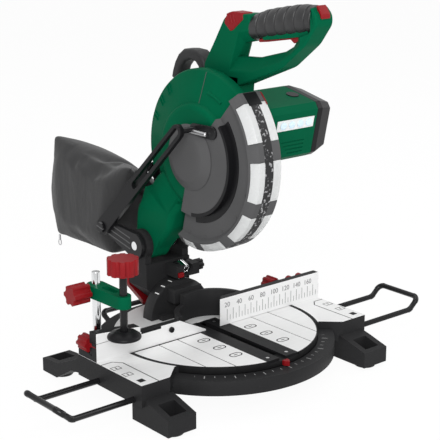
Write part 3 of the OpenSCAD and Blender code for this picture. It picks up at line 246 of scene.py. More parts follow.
def woven(name, colour):
    """Close black cloth: two sets of threads, soft creases and stains, and a dull sheen."""
    f = Finish(name)
    x, y, z = f.axes()
    thread_gap = 0.9 * MM
    pitch = 2 * pi / thread_gap
    warp = (y * pitch).wave()
    weft = (z * pitch).wave()
    threads = warp * weft * 0.5 + 0.5
    cloud = f.noise(16.0, 4.0)
    crease = f.noise(1.0, 3.0, f.place((9, 42, 16), (radians(24), 0, 0)))
    f.set(
        Base_Color=f.mix(threads * 0.5 + f.step(cloud, 0.25, 0.75) * 0.5, darker(colour, 0.6), colour),
        Roughness=0.78 + (cloud - 0.5) * 0.2,
        Normal=f.bump(threads * 0.04 + crease, 0.002),
        Sheen_Weight=0.12,
        Sheen_Roughness=0.5,
    )
    return f.material


def clear_sheet(name):
    """Clear plastic of the guard's windows, milky with dust."""
    f = Finish(name)
    scuff = f.step(f.noise(160.0, 5.0), 0.4, 0.7)
    wave = f.noise(70.0, 2.0)
    f.set(
        Base_Color=f.mix(scuff, (0.70, 0.71, 0.71), (0.58, 0.59, 0.59)),
        Roughness=0.16 + scuff * 0.2,
        Normal=f.bump(wave, 0.0004),
        Alpha=0.72 + scuff * 0.12,
    )
    return f.material


black_fabric = woven("black_fabric", (0.022, 0.022, 0.023))
clear_plastic = clear_sheet("clear_plastic")

finish_of = {
    "green_plastic": green_plastic, "charcoal_casting": charcoal_casting, "black_plastic": black_plastic,
    "charcoal_plastic": charcoal_plastic, "red_plastic": red_plastic, "machined_aluminium": machined_aluminium,
    "insert_plastic": insert_plastic, "steel": steel, "chrome": chrome, "black_steel": black_steel,
    "rubber": rubber, "clear_plastic": clear_plastic, "white_plastic": white_plastic,
    "copper_windings": copper_windings, "black_fabric": black_fabric,
}


def machined_top(f, paint, where, dark):
    """Painted casting with one machined face: where says the bright share, dark the near-black share of printed marks,
    dark outlines and painted shade.
    """
    cloud = f.noise(9.0, 4.0)
    grit = f.noise(CAST_GRAIN, 3.0)
    lines = f.noise(1.0, 3.0, f.place(LATHE_LINES))
    coat = f.mix(f.step(cloud, 0.3, 0.7), darker(paint, 0.75), paint)
    metal = f.mix(lines * 0.6 + cloud * 0.4, darker(BRIGHT, 0.84), BRIGHT)
    f.set(
        Base_Color=f.mix(dark, f.mix(where, coat, metal), (0.012, 0.012, 0.013)),
        Metallic=where * (1 - dark) * 0.25,
        Roughness=0.5 + (cloud - 0.5) * 0.2 - where * 0.1 + (lines - 0.5) * where * 0.2,
        Normal=f.bump(grit * (1 - where) + lines * where * 0.1 - dark * 1.5, 0.0002),
        Specular_IOR_Level=0.08,
    )
    return f.material


def boxed(x, y, middle_x, middle_y, half_x, half_y):
    """Signed distance in millimetres from the border of an upright rectangle."""
    return (abs(x - middle_x) - half_x).upper(abs(y - middle_y) - half_y)


def base_finish():
    """Base: painted casting, machined wing tops with dark lines along their outlines, a dark square and dark-outlined
    recesses with painted shadow in them, painted shade in the gap round the disc, degree marks on the ring.
    """
    f = Finish("base_paint")
    x, y, z = (axis * 1000 for axis in f.axes())
    aside = abs(x)
    top = z > TABLE_Z - 0.3
    wing_line, corner = 156, -18
    edge = (abs(aside - wing_line) < 0.7) * (y > -87.5) * (y < corner)
    edge = edge.upper((abs(aside - wing_line - (y - corner) * 0.94) < 0.9) * (y > corner) * (y < -9.5))
    edge = edge.upper((abs(y + 8.6) < 0.7) * (aside > 164))
    for middle in (-27, -50):
        edge = edge.upper(abs(boxed(aside, y, 172, middle, 5.5, 4)) < 0.5)
        # The narrow slot in each recess is painted shadow.
        edge = edge.upper(boxed(aside, y, 172, middle, 0.7, 2.2) < 0)
    edge = edge.upper(boxed(aside, y, 171, -74.4, 4.2, 4.2) < 0)
    reach = (x * x + y * y) ** 0.5
    turn = x.maths("ARCTAN2", x, 0 - y) * (180 / pi)
    fine = abs((turn + 2.5) % 5 - 2.5) * reach < 26
    broad = abs((turn + 7.5) % 15 - 7.5) * reach < 34
    ring = (abs(z - 46) < 0.5) * (y < 0) * (reach > 134) * (abs(turn) < 50)
    marks = ring * (fine * (reach < 138)).upper(broad * (reach < 141))
    # Near-black ring round the turntable: painted shade of the gap between base and disc.
    gap_shade_round_disc = reach < 132.6
    edge = edge.upper(gap_shade_round_disc)
    return machined_top(f, PAINT, (top * (1 - edge)).upper(marks * 0.35), edge * top)


def disc_finish():
    """Turntable: bright top and black rim; dark outlines of small recesses beside the kerf with painted shadow inside
    them, and painted shade along the top's outer edge and in a line along the fence's foot.
    """
    f = Finish("disc_metal")
    x, y, z = (axis * 1000 for axis in f.axes())
    aside = abs(x)
    top = z > TABLE_Z - 0.4
    rim_r, slot_x = 127.2, 38
    # Painted shade along the top's outer edge and in a line along the fence's foot.
    dark_lines_and_shade = (x * x + y * y > rim_r * rim_r).upper((abs(y + 0.5) < 1.2) * (x < 0))
    for middle in (-24, -54, -84):
        along, across = (abs(aside - slot_x) - 3.5).upper(0), y - middle
        dark_lines_and_shade = dark_lines_and_shade.upper(abs((along * along + across * across) ** 0.5 - 4.6) < 0.75)
        # The narrow slot in each recess is painted shadow.
        dark_lines_and_shade = dark_lines_and_shade.upper(boxed(aside, y, slot_x, middle, 3.0, 0.8) < 0)
    return machined_top(f, darker(PAINT, 0.6), top, dark_lines_and_shade * top)


def fence_finish(name, ruled):
    """Fence: machined front face, the rest painted; a ruled one carries the ruler's marks, another a slot drawn in
    painted shade.
    """
    f = Finish(name)
    x, y, z = (axis * 1000 for axis in f.axes())
    front = y < 0.4
    if ruled:
        fine = abs((x + 2.5) % 5 - 2.5) < 0.36
        broad = abs((x + 5) % 10 - 5) < 0.4
        rule = (x > 18) * (x < 182) * (z > 60.5) * (fine * (z < 67.5)).upper(broad * (z < 75.5))
        mark = front * rule * 0.75
    else:
        # Near-black patch on the front face: painted shade of a slot.
        mark = (boxed(x, z, -100, 76.6, 15, 1.6) < 0) * front
    return machined_top(f, PAINT, front, mark)


def ribbed_bracket():
    """Black bracket of the guard link, with three ribs along it, their lighter lines painted highlights."""
    f = Finish("bracket_black")
    x, y, z = (axis * 1000 for axis in f.axes())
    lean = atan2(LINK_PIN_Z - PIVOT_Z, LINK_PIN_Y - PIVOT_Y)
    off = (z - PIVOT_Z) * cos(lean) - (y - PIVOT_Y) * sin(lean)
    # The ribs' lighter colour is a painted highlight; their bump is their shape.
    rib = f.step(1.1 - abs(abs(off) - 7), 0, 0.6).upper(f.step(1.1 - abs(off), 0, 0.6)) * (y > 114)
    cloud = f.noise(30.0, 3.0)
    f.set(
        Base_Color=f.mix(rib * 0.8, (0.010, 0.010, 0.011), (0.11, 0.11, 0.112)),
        Roughness=0.36 + (cloud - 0.5) * 0.2,
        Normal=f.bump(rib + cloud * 0.05, 0.0006),
        Specular_IOR_Level=0.2,
    )
    return f.material


def bracket_finish():
    """Bevel bracket: painted casting with white degree marks on its arc."""
    f = Finish("bracket_paint")
    x, y, z = (axis * 1000 for axis in f.axes())
    up = z - TABLE_Z
    reach = (x * x + up * up) ** 0.5
    turn = x.maths("ARCTAN2", x, up) * (180 / pi)
    mark = (reach > 46.2) * (y < 80) * (abs((turn + 7.5) % 15 - 7.5) < 1.0) * (abs(turn) < 50) * (y > 72)
    cloud = f.noise(9.0, 4.0)
    grit = f.noise(CAST_GRAIN, 3.0)
    f.set(
        Base_Color=f.mix(mark, f.mix(f.step(cloud, 0.3, 0.7), darker(PAINT, 0.75), PAINT), (0.75, 0.75, 0.75)),
        Roughness=0.5 + (cloud - 0.5) * 0.2,
        Normal=f.bump(grit, 0.0002),
        Specular_IOR_Level=0.2,
    )
    return f.material


# Nodes whose finish differs from their slot's, and the rounding of nodes' edges in millimetres
own_finish = {
    "base_casting": base_finish(), "turntable_disc": disc_finish(),
    "fence_left": fence_finish("fence_metal_left", False), "fence_right": fence_finish("fence_metal_right", True),
    "link_bracket": ribbed_bracket(), "bevel_bracket": bracket_finish(), "guard_link": black_plastic,
    "sliding_fence": fence_finish("fence_metal_slide", False),
}
edge_of = {
    "motor_housing": 2.2, "motor_end_cap": 2.5, "gear_case": 1.5, "head_arm": 2.0, "clamp_arm": 1.2,
    "bevel_column": 1.2, "base_casting": 1.0, "bevel_bracket": 1.2, "bevel_lock_lever": 2.0, "front_button": 1.5,
    "lower_guard": 0.8, "upper_guard": 1.2, "clamp_pad": 1.0, "head_lock_pin": 1.0,
}


# ---------------------------------------------------------------- carried-over solids

def dress(name, finish, edge=0.5):
    """A CAD node keeps its shape and gets its finish and softly broken edges."""
    node = nodes[name]
    node.data.materials.clear()
    node.data.materials.append(finish)
    for face in node.data.polygons:
        face.material_index = 0
    weld = node.modifiers.new("weld", "WELD")
    weld.merge_threshold = 0.00001
    flat = node.modifiers.new("flat", "DECIMATE")
    flat.decimate_type = "DISSOLVE"
    flat.angle_limit = radians(1.0)
    soft = node.modifiers.new("soft", "BEVEL")
    soft.width = edge * MM
    soft.segments = 2
    soft.limit_method = "ANGLE"
    soft.angle_limit = radians(32)
    soft.harden_normals = True


for part in frame["record"]["subparts"]:
    name = part["node"]
    dress(name, own_finish.get(name, finish_of[part["material_slot"]]), edge_of.get(name, 0.5))


# ---------------------------------------------------------------- bench tools

def fresh(kind, **how):
    """Adds a primitive with its place in its mesh and opens it, with nothing else selected."""
    bpy.ops.object.select_all(action="DESELECT")
    getattr(bpy.ops.mesh, "primitive_%s_add" % kind)(**how)
    bpy.ops.object.transform_apply(location=True, rotation=True, scale=True)
    bpy.ops.object.mode_set(mode="EDIT")


def rod(sides, radius, depth, middle, turn):
    """Opens a cylinder; its sizes and middle are in millimetres."""
    place = [c * MM for c in middle]
    fresh("cylinder", vertices=sides, radius=radius * MM, depth=depth * MM, location=place, rotation=turn)


def pick(kind, test):
    """Selects the vertices, edges or faces of the open mesh that pass a test of their middle in millimetres."""
    bpy.ops.mesh.select_mode(type={"verts": "VERT", "edges": "EDGE", "faces": "FACE"}[kind])
    bpy.ops.mesh.select_all(action="DESELECT")
    data = bpy.context.object.data
    mesh = bmesh.from_edit_mesh(data)
    mesh.normal_update()
    for item in getattr(mesh, kind):
        if kind == "verts":
            middle = item.co
        elif kind == "edges":
            middle = (item.verts[0].co + item.verts[1].co) / 2
        else:
            middle = item.calc_center_median()
        if test(middle / MM, item):
            item.select_set(True)
    mesh.select_flush_mode()
    bmesh.update_edit_mesh(data)


def move(*millimetres):
    bpy.ops.transform.translate(value=Vector(millimetres) * MM)


def inset(wide, deep):
    bpy.ops.mesh.inset(thickness=wide * MM, depth=deep * MM)


def spread(wide, high, centre):
    bpy.ops.transform.resize(value=(wide, 1, high), center_override=[c * MM for c in centre])


def trace(points, shut="face"):
    """Draws a line through points by extruding one vertex; shut makes it a loop or a face."""
    points = [Vector(p) * MM for p in points]
    fresh("plane", size=MM, location=points[0])
    bpy.ops.mesh.select_mode(type="VERT")
    bpy.ops.mesh.merge(type="CENTER")
    for here, there in zip(points, points[1:]):
        bpy.ops.mesh.extrude_vertices_move(TRANSFORM_OT_translate={"value": there - here})
    if shut == "face":
        bpy.ops.mesh.select_linked()
        bpy.ops.mesh.edge_face_add()
    else:
        ends = (points[0], points[-1])
        pick("verts", lambda p, v: any((v.co - e).length < 0.00001 for e in ends))
        bpy.ops.mesh.edge_face_add()


def side(points, x):
    """Points of a side view, y and z, at one x."""
    return [(x, y, z) for y, z in points]


def thicken(*millimetres):
    bpy.ops.mesh.extrude_region_move(TRANSFORM_OT_translate={"value": Vector(millimetres) * MM})


def soften(width, segments=3, angle=30, test=None):
    """Rounds the open mesh's edges that are sharper than an angle."""
    pick("edges", lambda p, e: e.calc_face_angle(0) > radians(angle) and (test is None or test(p, e)))
    bpy.ops.mesh.bevel(offset=width * MM, segments=segments, affect="EDGES")


def tidy():
    bpy.ops.mesh.select_all(action="SELECT")
    bpy.ops.mesh.remove_doubles(threshold=0.00002)
    bpy.ops.mesh.normals_make_consistent(inside=False)


def keep(name, finish, body, *stands_for, sharp=35, slot=None):
    """Closes the piece, levels its shading, names it, gives it its finish and sets it on its body."""
    piece = bpy.context.object
    if piece.mode == "EDIT":
        tidy()
        bpy.ops.object.mode_set(mode="OBJECT")
    bpy.ops.object.shade_smooth_by_angle(angle=radians(sharp))
    level = piece.modifiers.new("level", "WEIGHTED_NORMAL")
    level.keep_sharp = True
    bpy.ops.object.modifier_apply(modifier=level.name)
    piece.name = name
    piece.data.materials.clear()
    piece.data.materials.append(finish)
    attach(piece, body)
    if stands_for:
        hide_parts(*stands_for)


def swept(profile, start, stop, steps=48, y=ARBOR_Y, z=ARBOR_Z):
    """Spins a closed outline of radius and x about a sideways axis, from one angle to another."""
    turn = radians(start)
    points = [(x, y + r * cos(turn), z + r * sin(turn)) for r, x in profile]
    whole = abs(stop - start) >= 360
    trace(points, "loop")
    bpy.ops.mesh.select_all(action="SELECT")
    bpy.ops.mesh.spin(steps=steps, angle=radians(stop - start), center=(0, y * MM, z * MM), axis=(-1, 0, 0))
    tidy()
    if not whole:
        bpy.ops.mesh.fill_holes(sides=0)
        tidy()


def motor_point(x, u, v):
    """A point given along the motor's own tilted axes."""
    c, s = cos(radians(MOTOR_TILT)), sin(radians(MOTOR_TILT))
    return Vector((x, MOTOR_Y + u * c - v * s, MOTOR_Z + u * s + v * c))


def off_line(p, line):
    """How far a point is, in the side view, from a line through points."""
    spot = Vector((p.y, p.z))
    best = float("inf")
    for a, b in zip(line, line[1:]):
        a, b = Vector(a), Vector(b)
        share = max(0.0, min(1.0, (spot - a).dot(b - a) / (b - a).length_squared))
        best = min(best, (spot - a - (b - a) * share).length)
    return best


def block_of(outline, left, right, round_corners=0.0):
    """Opens a solid with a side view's outline, from one x to another, its corners rounded in that view."""
    trace(side(outline, left))
    if round_corners:
        bpy.ops.mesh.select_all(action="SELECT")
        bpy.ops.mesh.bevel(offset=round_corners * MM, segments=3, affect="VERTICES", clamp_overlap=True)
        bpy.ops.mesh.select_all(action="SELECT")
    thicken(right - left, 0, 0)
    tidy()


# ---------------------------------------------------------------- main handle

HANDLE_X, HANDLE_W = 20.5, 27.0
HANDLE_MID = HANDLE_X + HANDLE_W / 2
FLARE_W = 9.5


def handle_frame():
    """Lower beam, nose and rear leg in one, flared round the hand hole; the rubber grip closes the top."""
    hole = [(-111, 431), (-110, 426), (-104, 418), (-90, 410.5), (-45, 398.5), (-9, 396), (-21, 413), (-38, 417)]
    flare = [(-124, 432), (-122.5, 422), (-111, 412.5), (-92, 400), (-44, 382.5), (-2, 378.5), (-19, 427), (-38, 430)]
    outside = [(-38, 449), (-2, 446.5), (8, 441), (28, 409), (46, 382), (46, 360), (-16, 361), (-93, 392), (-131, 422),
               (-149, 446), (-148.5, 457), (-138, 467), (-138, 437), (-128, 434)]
    inner_half = HANDLE_W / 2 - FLARE_W
    trace(side(flare + outside, HANDLE_X))
    pick("verts", lambda p, v: off_line(p, flare) > 1.0)
    bpy.ops.mesh.bevel(offset=4.0 * MM, segments=3, affect="VERTICES", clamp_overlap=True)
    bpy.ops.mesh.select_all(action="SELECT")
    for wide in (FLARE_W, 2 * inner_half, FLARE_W):
        thicken(wide, 0, 0)
    for (y0, z0), (y1, z1) in zip(flare, hole):
        pick("verts", lambda p, v: abs(p.x - HANDLE_MID) < 5 and hypot(p.y - y0, p.z - z0) < 0.2)
        move(0, y1 - y0, z1 - z0)
    tidy()
    rim = lambda p: abs(p.x - HANDLE_MID) > HANDLE_W / 2 - 0.1
    soften(2.4, 3, 40, lambda p, e: rim(p) and off_line(p, flare) > 1.0)
    soften(1.2, 2, 12, lambda p, e: rim(p) and off_line(p, flare) <= 1.0)
    soften(2.0, 2, 15, lambda p, e: abs(abs(p.x - HANDLE_MID) - inner_half) < 0.1 and off_line(p, hole) <= 1.0)
    keep("handle_frame_shell", green_plastic, "head", "handle_frame", sharp=38)
    housing = [(-131, 439), (-56, 426), (-56, 420.2), (-72, 422.6), (-108, 428.4), (-131, 433)]
    block_of(housing, HANDLE_MID - 9, HANDLE_MID + 9, 2.0)
    soften(1.2, 2, 60)
    keep("trigger_housing", green_plastic, "head")


def handle_grip():
    """Rubber sleeve that closes the handle's top, with grooves across it."""
    line = [(-35, 432.6, 15.6), (-60, 438.6, 17.4), (-86, 443.4, 17.8), (-113, 448.4, 17.6), (-136, 451.4, 15.8),
            (-146, 452.2, 14.6)]

    def at(y):
        """Height of the sleeve's middle and half its thickness at one y."""
        for (y0, z0, h0), (y1, z1, h1) in zip(line, line[1:]):
            if y1 <= y <= y0:
                t = (y - y0) / (y1 - y0)
                return z0 + t * (z1 - z0), h0 + t * (h1 - h0)

    stations = [(-35.5, 0.92), (-38.0, 0.98)]
    for groove in (-50, -65, -81, -97, -113, -129):
        stations += [(groove + 1.5, 1.0), (groove + 0.8, 0.93), (groove - 0.8, 0.93), (groove - 1.5, 1.0)]
        if groove > -125:
            stations.append((groove - 7, 1.03))
    stations += [(-134.6, 1.0), (-136.8, 0.97), (-138.2, 0.88)]
    width = HANDLE_W / 2 + 0.6
    y, share = stations[0]
    z, half = at(y)
    fresh("circle", vertices=40, radius=MM, fill_type="NGON", rotation=(radians(90), 0, 0),
          location=(HANDLE_MID * MM, y * MM, z * MM))
    bpy.ops.mesh.select_all(action="SELECT")
    spread(width * share, half * share, (HANDLE_MID, y, z))
    for (y0, s0), (y1, s1) in zip(stations, stations[1:]):
        z0, h0 = at(y0)
        z1, h1 = at(y1)
        thicken(0, y1 - y0, z1 - z0)
        spread(s1 / s0, h1 * s1 / (h0 * s0), (HANDLE_MID, y1, z1))
    keep("grip_sleeve", grip_rubber, "head", "handle_grip", sharp=50, slot="rubber")


def handle_controls():
    """Rear button that wraps the corner, with three ribs, the nose's button and the slim trigger under the grip."""
    cap = [(-27.5, 442), (-26, 449.6), (-8, 449.9), (0, 447.6), (5.5, 440.5), (6.5, 434.5), (-4.5, 426), (-9, 427.5)]
    block_of(cap, HANDLE_X - 0.9, HANDLE_X + 17.0, 1.5)
    soften(1.6, 3, 55)
    keep("rear_button_cap", red_plastic, "lock_off_button", "lock_off_button")
    for index, y in enumerate((-15.0, -9.5, -4.0)):
        block_of([(y, 436), (y + 1.4, 435), (y + 5.4, 446), (y + 4.0, 447)], HANDLE_X - 1.5, HANDLE_X)
        soften(0.3, 1, 55)
        keep("rear_button_rib_%d" % index, red_plastic, "lock_off_button")
    nose = [(-141, 466.2), (-142, 467.9), (-144.5, 466.2), (-150, 458.6), (-150.6, 453), (-147.5, 453.4),
            (-146, 457.5), (-142, 463)]
    block_of(nose, HANDLE_MID - 6.5, HANDLE_MID + 7.5, 1.2)
    soften(1.2, 3, 55)
    keep("front_button_cap", red_plastic, "front_button", "front_button")
    lever = [(-114, 432.5), (-112.5, 424.5), (-106, 421.6), (-100, 425.6), (-62, 418.8), (-47, 416.8), (-46, 420),
             (-98, 434)]
    block_of(lever, HANDLE_MID - 6, HANDLE_MID + 6, 1.0)
    soften(0.8, 2, 55)
    keep("trigger_lever", red_plastic, "trigger", "trigger")


def carry_arch():
    """Black carrying arch behind the handle."""
    arch = [(46.3, 372), (47.5, 382), (53, 390.5), (62, 395.4), (76, 396), (89, 394.6), (99.5, 387), (106.5, 377),
            (111, 366), (113.5, 356.5), (104, 352), (98.5, 360), (94.5, 371), (87, 379), (76, 382.4), (66, 381),
            (60, 375.5), (58, 370)]
    block_of(arch, 21.5, 42.5)
    soften(4.6, 3, 60, lambda p, e: abs(p.x - 32) > 10)
    keep("carry_arch", highlit_arch_plastic, "head", "carry_handle", sharp=50)


handle_frame()
handle_grip()
handle_controls()
carry_arch()


# ---------------------------------------------------------------- upper guard trim

TAIL_X = -29.9


def cone(r):
    """Where the fixed guard's sloping left face lies, at a radius about the arbor."""
    return -19.5 + (r - 40) * 16.0 / 63.5


def guard_trim():
    """Raised boss, ridge, seam, ribs, tail and hub cover that sit on the fixed guard."""
    boss = [(30, -19.2), (57, -19.9), (61.5, -19.2), (64.5, -16.8), (65.8, -12.6), (60, -12.0), (30, -17.0)]
    swept(boss, -72, 131, 64)
    keep("guard_boss", green_plastic, "head", sharp=40)
    swept([(80.6, -8.2), (80.9, -10.6), (82.2, -11.0), (83.4, -10.0), (83.6, -7.6)], 103, 121, 12)
    keep("guard_ridge", green_plastic, "head", sharp=60)
    low, high = 66, 103.4
    seam = [(low, cone(low) - 0.3), (high, cone(high) - 0.3), (high, cone(high) + 0.6), (low, cone(low) + 0.6)]
    swept(seam, 94.7, 95.2, 2)
    keep("guard_seam", charcoal_plastic, "head", slot="green_plastic")
    rib = [(88, cone(88) + 0.4), (90, cone(90) - 1.2), (101.5, cone(101.5) - 1.2), (103.2, cone(103.2) + 0.4)]
    for index, angle in enumerate((50.0, 36.5, 22.0)):
        for step, shift in enumerate((-1.6, 1.6)):
            swept(rib, angle + shift - 0.45, angle + shift + 0.45, 2)
            keep("guard_rib_%d_%d" % (index, step), green_plastic, "head", sharp=40)
    tail = [(108, 226), (124, 190), (127, 160), (123, 142), (112, 129), (100, 128.6), (89, 139), (56, 173), (42, 214),
            (52, 238), (90, 244)]
    block_of(tail, TAIL_X, -2.5, 8.0)
    bpy.ops.mesh.select_all(action="SELECT")
    bpy.ops.mesh.bisect(plane_co=(0, 0, 0.196), plane_no=(0, 0, 1))
    pick("verts", lambda p, v: p.x < TAIL_X + 0.1 and p.z > 200)
    move(13, 0, 0)
    soften(8.0, 5, 50, lambda p, e: p.x < -10)
    keep("guard_tail", green_plastic, "head", sharp=40)
    cover = [(0.05, -30.5), (20, -30.5), (27.5, -30.2), (30.5, -29.2), (36, -26), (41, -23.8), (37, -23.6),
             (29.4, -27.5), (28.4, -29.6), (0.05, -29.7)]
    swept(cover, 0, 360, 64)
    keep("hub_cover", charcoal_plastic, "head", sharp=60)


guard_trim()


# ---------------------------------------------------------------- lower guard trim

def rim_finish():
    """Painted shade of the slot along the guard's rim, with light flecks standing for the blade's teeth in it."""
    f = Finish("rim_slot_painted_shade")
    fleck = f.step(f.noise(260.0, 3.0), 0.56, 0.62)
    f.set(
        Base_Color=f.mix(fleck * 0.7, (0.012, 0.012, 0.013), (0.42, 0.42, 0.43)),
        Roughness=0.5 - fleck * 0.2,
        Normal=f.bump(fleck, 0.0003),
        Specular_IOR_Level=0.3,
    )
    return f.material


def lower_guard_trim():
    """Black curved recess, a band of painted shade in the rim's slot, pad and red catch, the rivets and the lever's
    bar.
    """
    recess = [(69.2, -22.8), (69.5, -23.4), (73.6, -23.4), (74.4, -16.4), (82.2, -16.2), (82.5, -15.3), (73.2, -15.3),
              (72.6, -22.8)]
    swept(recess, 140, 268, 64)
    keep("guard_recess", black_plastic, "lower_guard", sharp=40)
    # Thin dark band on the rim: painted shade of the slot, flecked where the teeth show.
    swept([(117.6, -6.4), (118.35, -6.0), (118.35, 6.4), (117.6, 6.8)], 133, 283, 96)
    keep("guard_rim_slot_shade", rim_finish(), "lower_guard", slot="black_plastic", sharp=40)
    swept([(117.5, -8.2), (118.5, -7.6), (118.5, 11.4), (117.5, 12.0)], 132.4, 141, 12)
    keep("guard_top_pad", black_plastic, "lower_guard", sharp=40)
    swept([(106.5, 18.9), (106.8, 20.1), (117.4, 20.1), (118.4, 19.4), (118.4, 18.0)], 133, 141.5, 12)
    keep("guard_red_catch", red_plastic, "lower_guard", sharp=40)
    rivets_r = 98.2
    for index, angle in enumerate((140, 158, 178, 198, 218, 238, 258, 276)):
        y, z = ARBOR_Y + rivets_r * cos(radians(angle)), ARBOR_Z + rivets_r * sin(radians(angle))
        rod(16, 1.4, 1.2, (-15.7, y, z), (0, radians(90), 0))
        soften(0.4, 2, 60)
        keep("guard_rivet_%d" % index, charcoal_plastic, "lower_guard")
    rod(20, 2.8, 33, (-28.4, -2, 309.5), (radians(90), 0, 0))
    soften(1.6, 3, 60)
    keep("guard_lever_bar", steel, "lower_guard")


lower_guard_trim()


# ---------------------------------------------------------------- motor trim

def lens_finish():
    """Pale blue lens with a fine ripple."""
    f = Finish("lens_clear")
    ripple = f.noise(500.0, 2.0)
    f.set(
        Base_Color=f.mix(f.step(ripple, 0.3, 0.7), (0.55, 0.72, 0.86), (0.72, 0.85, 0.93)),
        Roughness=0.12 + ripple * 0.1,
        Normal=f.bump(ripple, 0.00005),
    )
    return f.material


def lamp_lenses():
    """Four clear lenses in the white lamp panel."""
    lens_clear = lens_finish()
    front = motor_point(0, -1, 0) - motor_point(0, 0, 0)
    for index, x in enumerate((68, 82, 96, 110)):
        middle = motor_point(x, -37.4, 14.0)
        rod(24, 4.6, 1.2, middle, (radians(90 + MOTOR_TILT), 0, 0))
        pick("faces", lambda p, f: f.normal.dot(front) > 0.9)
        inset(1.2, 0.5)
        inset(1.2, 0.3)
        keep("lamp_lens_%d" % index, lens_clear, "head", slot="white_plastic", sharp=40)


lamp_lenses()


# ---------------------------------------------------------------- laser

def laser():
    """Short ringed tube and lens of the line laser in its black clamp, below the pivot."""
    block_of([(71, 109), (69.6, 115), (71, 120.5), (75, 123), (85, 123), (85, 107)], -1.6, 20, 2.0)
    soften(2.5, 3, 55)
    keep("laser_clamp", black_plastic, "column")
    lean, middle = radians(111), Vector((6.6, 73.0, 117.4))
    ahead = Vector((0, -sin(lean), cos(lean)))
    rod(40, 6.2, 13, middle, (lean, 0, 0))
    pick("faces", lambda p, f: f.normal.dot(ahead) > 0.9)
    for wide, deep in ((0.9, 0.0), (0.4, -1.2), (0.2, 0.0), (0.3, 2.4), (1.0, 0.0), (0.4, -2.6)):
        inset(wide, deep)
    soften(0.4, 2, 50)
    keep("laser_tube", chrome, "column", "laser_barrel", sharp=40)
    rod(32, 3.4, 2.0, middle + ahead * 6.2, (lean, 0, 0))
    pick("faces", lambda p, f: f.normal.dot(ahead) > 0.9)
    inset(1.2, -0.4)
    keep("laser_lens", black_plastic, "column", sharp=40)


laser()


# ---------------------------------------------------------------- base trim

def base_trim():
    """Dark stepped floor under the turntable, seen through the kerf, and the left fence's screw."""
    rod(72, 112, 1.6, (0, 0, 26.5), (0, 0, 0))
    pick("faces", lambda p, f: abs(f.normal.z) > 0.9)
    for wide, deep in ((6, 0.8), (48, 0), (4, 1.0)):
        inset(wide, deep)
    keep("base_floor", charcoal_casting, "base", sharp=40)
    rod(24, 3.6, 2.4, (-69.6, -0.7, 69.9), (radians(90), 0, 0))
    pick("faces", lambda p, f: f.normal.y < -0.9)
    inset(1.3, 0)
    inset(0.3, -1.4)
    keep("fence_screw", black_steel, "base", sharp=40)


base_trim()


# ---------------------------------------------------------------- dust bag

BAG_LEFT, BAG_RIGHT = -31.0, 43.0
CLOTH_FRAMES = 20
CLOTH_REACH = 9 * MM


def dust_bag():
    """Cloth bag, blown up a little from a slack shape of its own outline."""
    outline = [(137, 242), (184, 243), (226, 248), (262, 255), (292, 258.5), (318, 259), (320, 238), (325, 210),
               (331, 178), (327, 146), (315, 110), (280, 110), (246, 110), (212, 111), (180, 113), (168, 146),
               (156, 178), (146, 210)]
    middle, half = (BAG_LEFT + BAG_RIGHT) / 2, (BAG_RIGHT - BAG_LEFT) / 2
    block_of(outline, BAG_LEFT, BAG_RIGHT)
    pick("verts", lambda p, v: p.x > 0 and p.z > 230)
    move(0, 0, -32)
    pick("verts", lambda p, v: p.x > 0 and 205 < p.z < 215)
    move(0, 0, -12)
    soften(7.0, 2, 50, lambda p, e: abs(p.x - middle) > half - 0.1)
    tidy()
    bpy.ops.object.mode_set(mode="OBJECT")
    bag = bpy.context.object
    grid = bag.modifiers.new("grid", "REMESH")
    grid.mode = "VOXEL"
    grid.voxel_size = 0.0055
    bpy.ops.object.modifier_apply(modifier=grid.name)
    start = [v.co.copy() for v in bag.data.vertices]
    cloth = bag.modifiers.new("cloth", "CLOTH")
    cloth.settings.use_pressure = True
    cloth.settings.uniform_pressure_force = 4.0
    cloth.settings.quality = 6
    cloth.settings.tension_stiffness = 12.0
    cloth.settings.compression_stiffness = 12.0
    cloth.settings.bending_stiffness = 0.4
    cloth.settings.effector_weights.gravity = 0.0
    scene.frame_start, scene.frame_end = 1, CLOTH_FRAMES
    cloth.point_cache.frame_start, cloth.point_cache.frame_end = 1, CLOTH_FRAMES
    for frame_number in range(1, CLOTH_FRAMES + 1):
        scene.frame_set(frame_number)
    bpy.ops.object.modifier_apply(modifier=cloth.name)
    for vertex, old in zip(bag.data.vertices, start):
        way = vertex.co - old
        if way.length > CLOTH_REACH:
            vertex.co = old + way * (CLOTH_REACH / way.length)
    scene.frame_set(1)
    soft = bag.modifiers.new("soft", "SUBSURF")
    soft.levels = soft.render_levels = 1
    bpy.ops.object.modifier_apply(modifier=soft.name)
    keep("dust_bag_cloth", black_fabric, "head", "dust_bag", sharp=80)


def zip_pull():
    """Pull of the bag's zip, hanging at its lower rear corner."""
    block_of([(310.5, 112), (313.5, 112), (314.2, 104), (309.8, 104)], -26.2, -24.4)
    soften(0.5, 2, 50)
    keep("zip_slider", steel, "head")
    bpy.ops.object.select_all(action="DESELECT")
    bpy.ops.mesh.primitive_torus_add(major_radius=3.2 * MM, minor_radius=0.8 * MM, major_segments=28, minor_segments=10,
                                     location=(-25.3 * MM, 312 * MM, 101.2 * MM), rotation=(0, radians(90), 0))
    bpy.ops.object.transform_apply(location=True, rotation=True, scale=True)
    bpy.ops.object.mode_set(mode="EDIT")
    pick("verts", lambda p, v: p.z < 101)
    move(0, 0, -1.6)
    keep("zip_ring", steel, "head", sharp=60)


dust_bag()
zip_pull()


# ---------------------------------------------------------------- ruler numbers

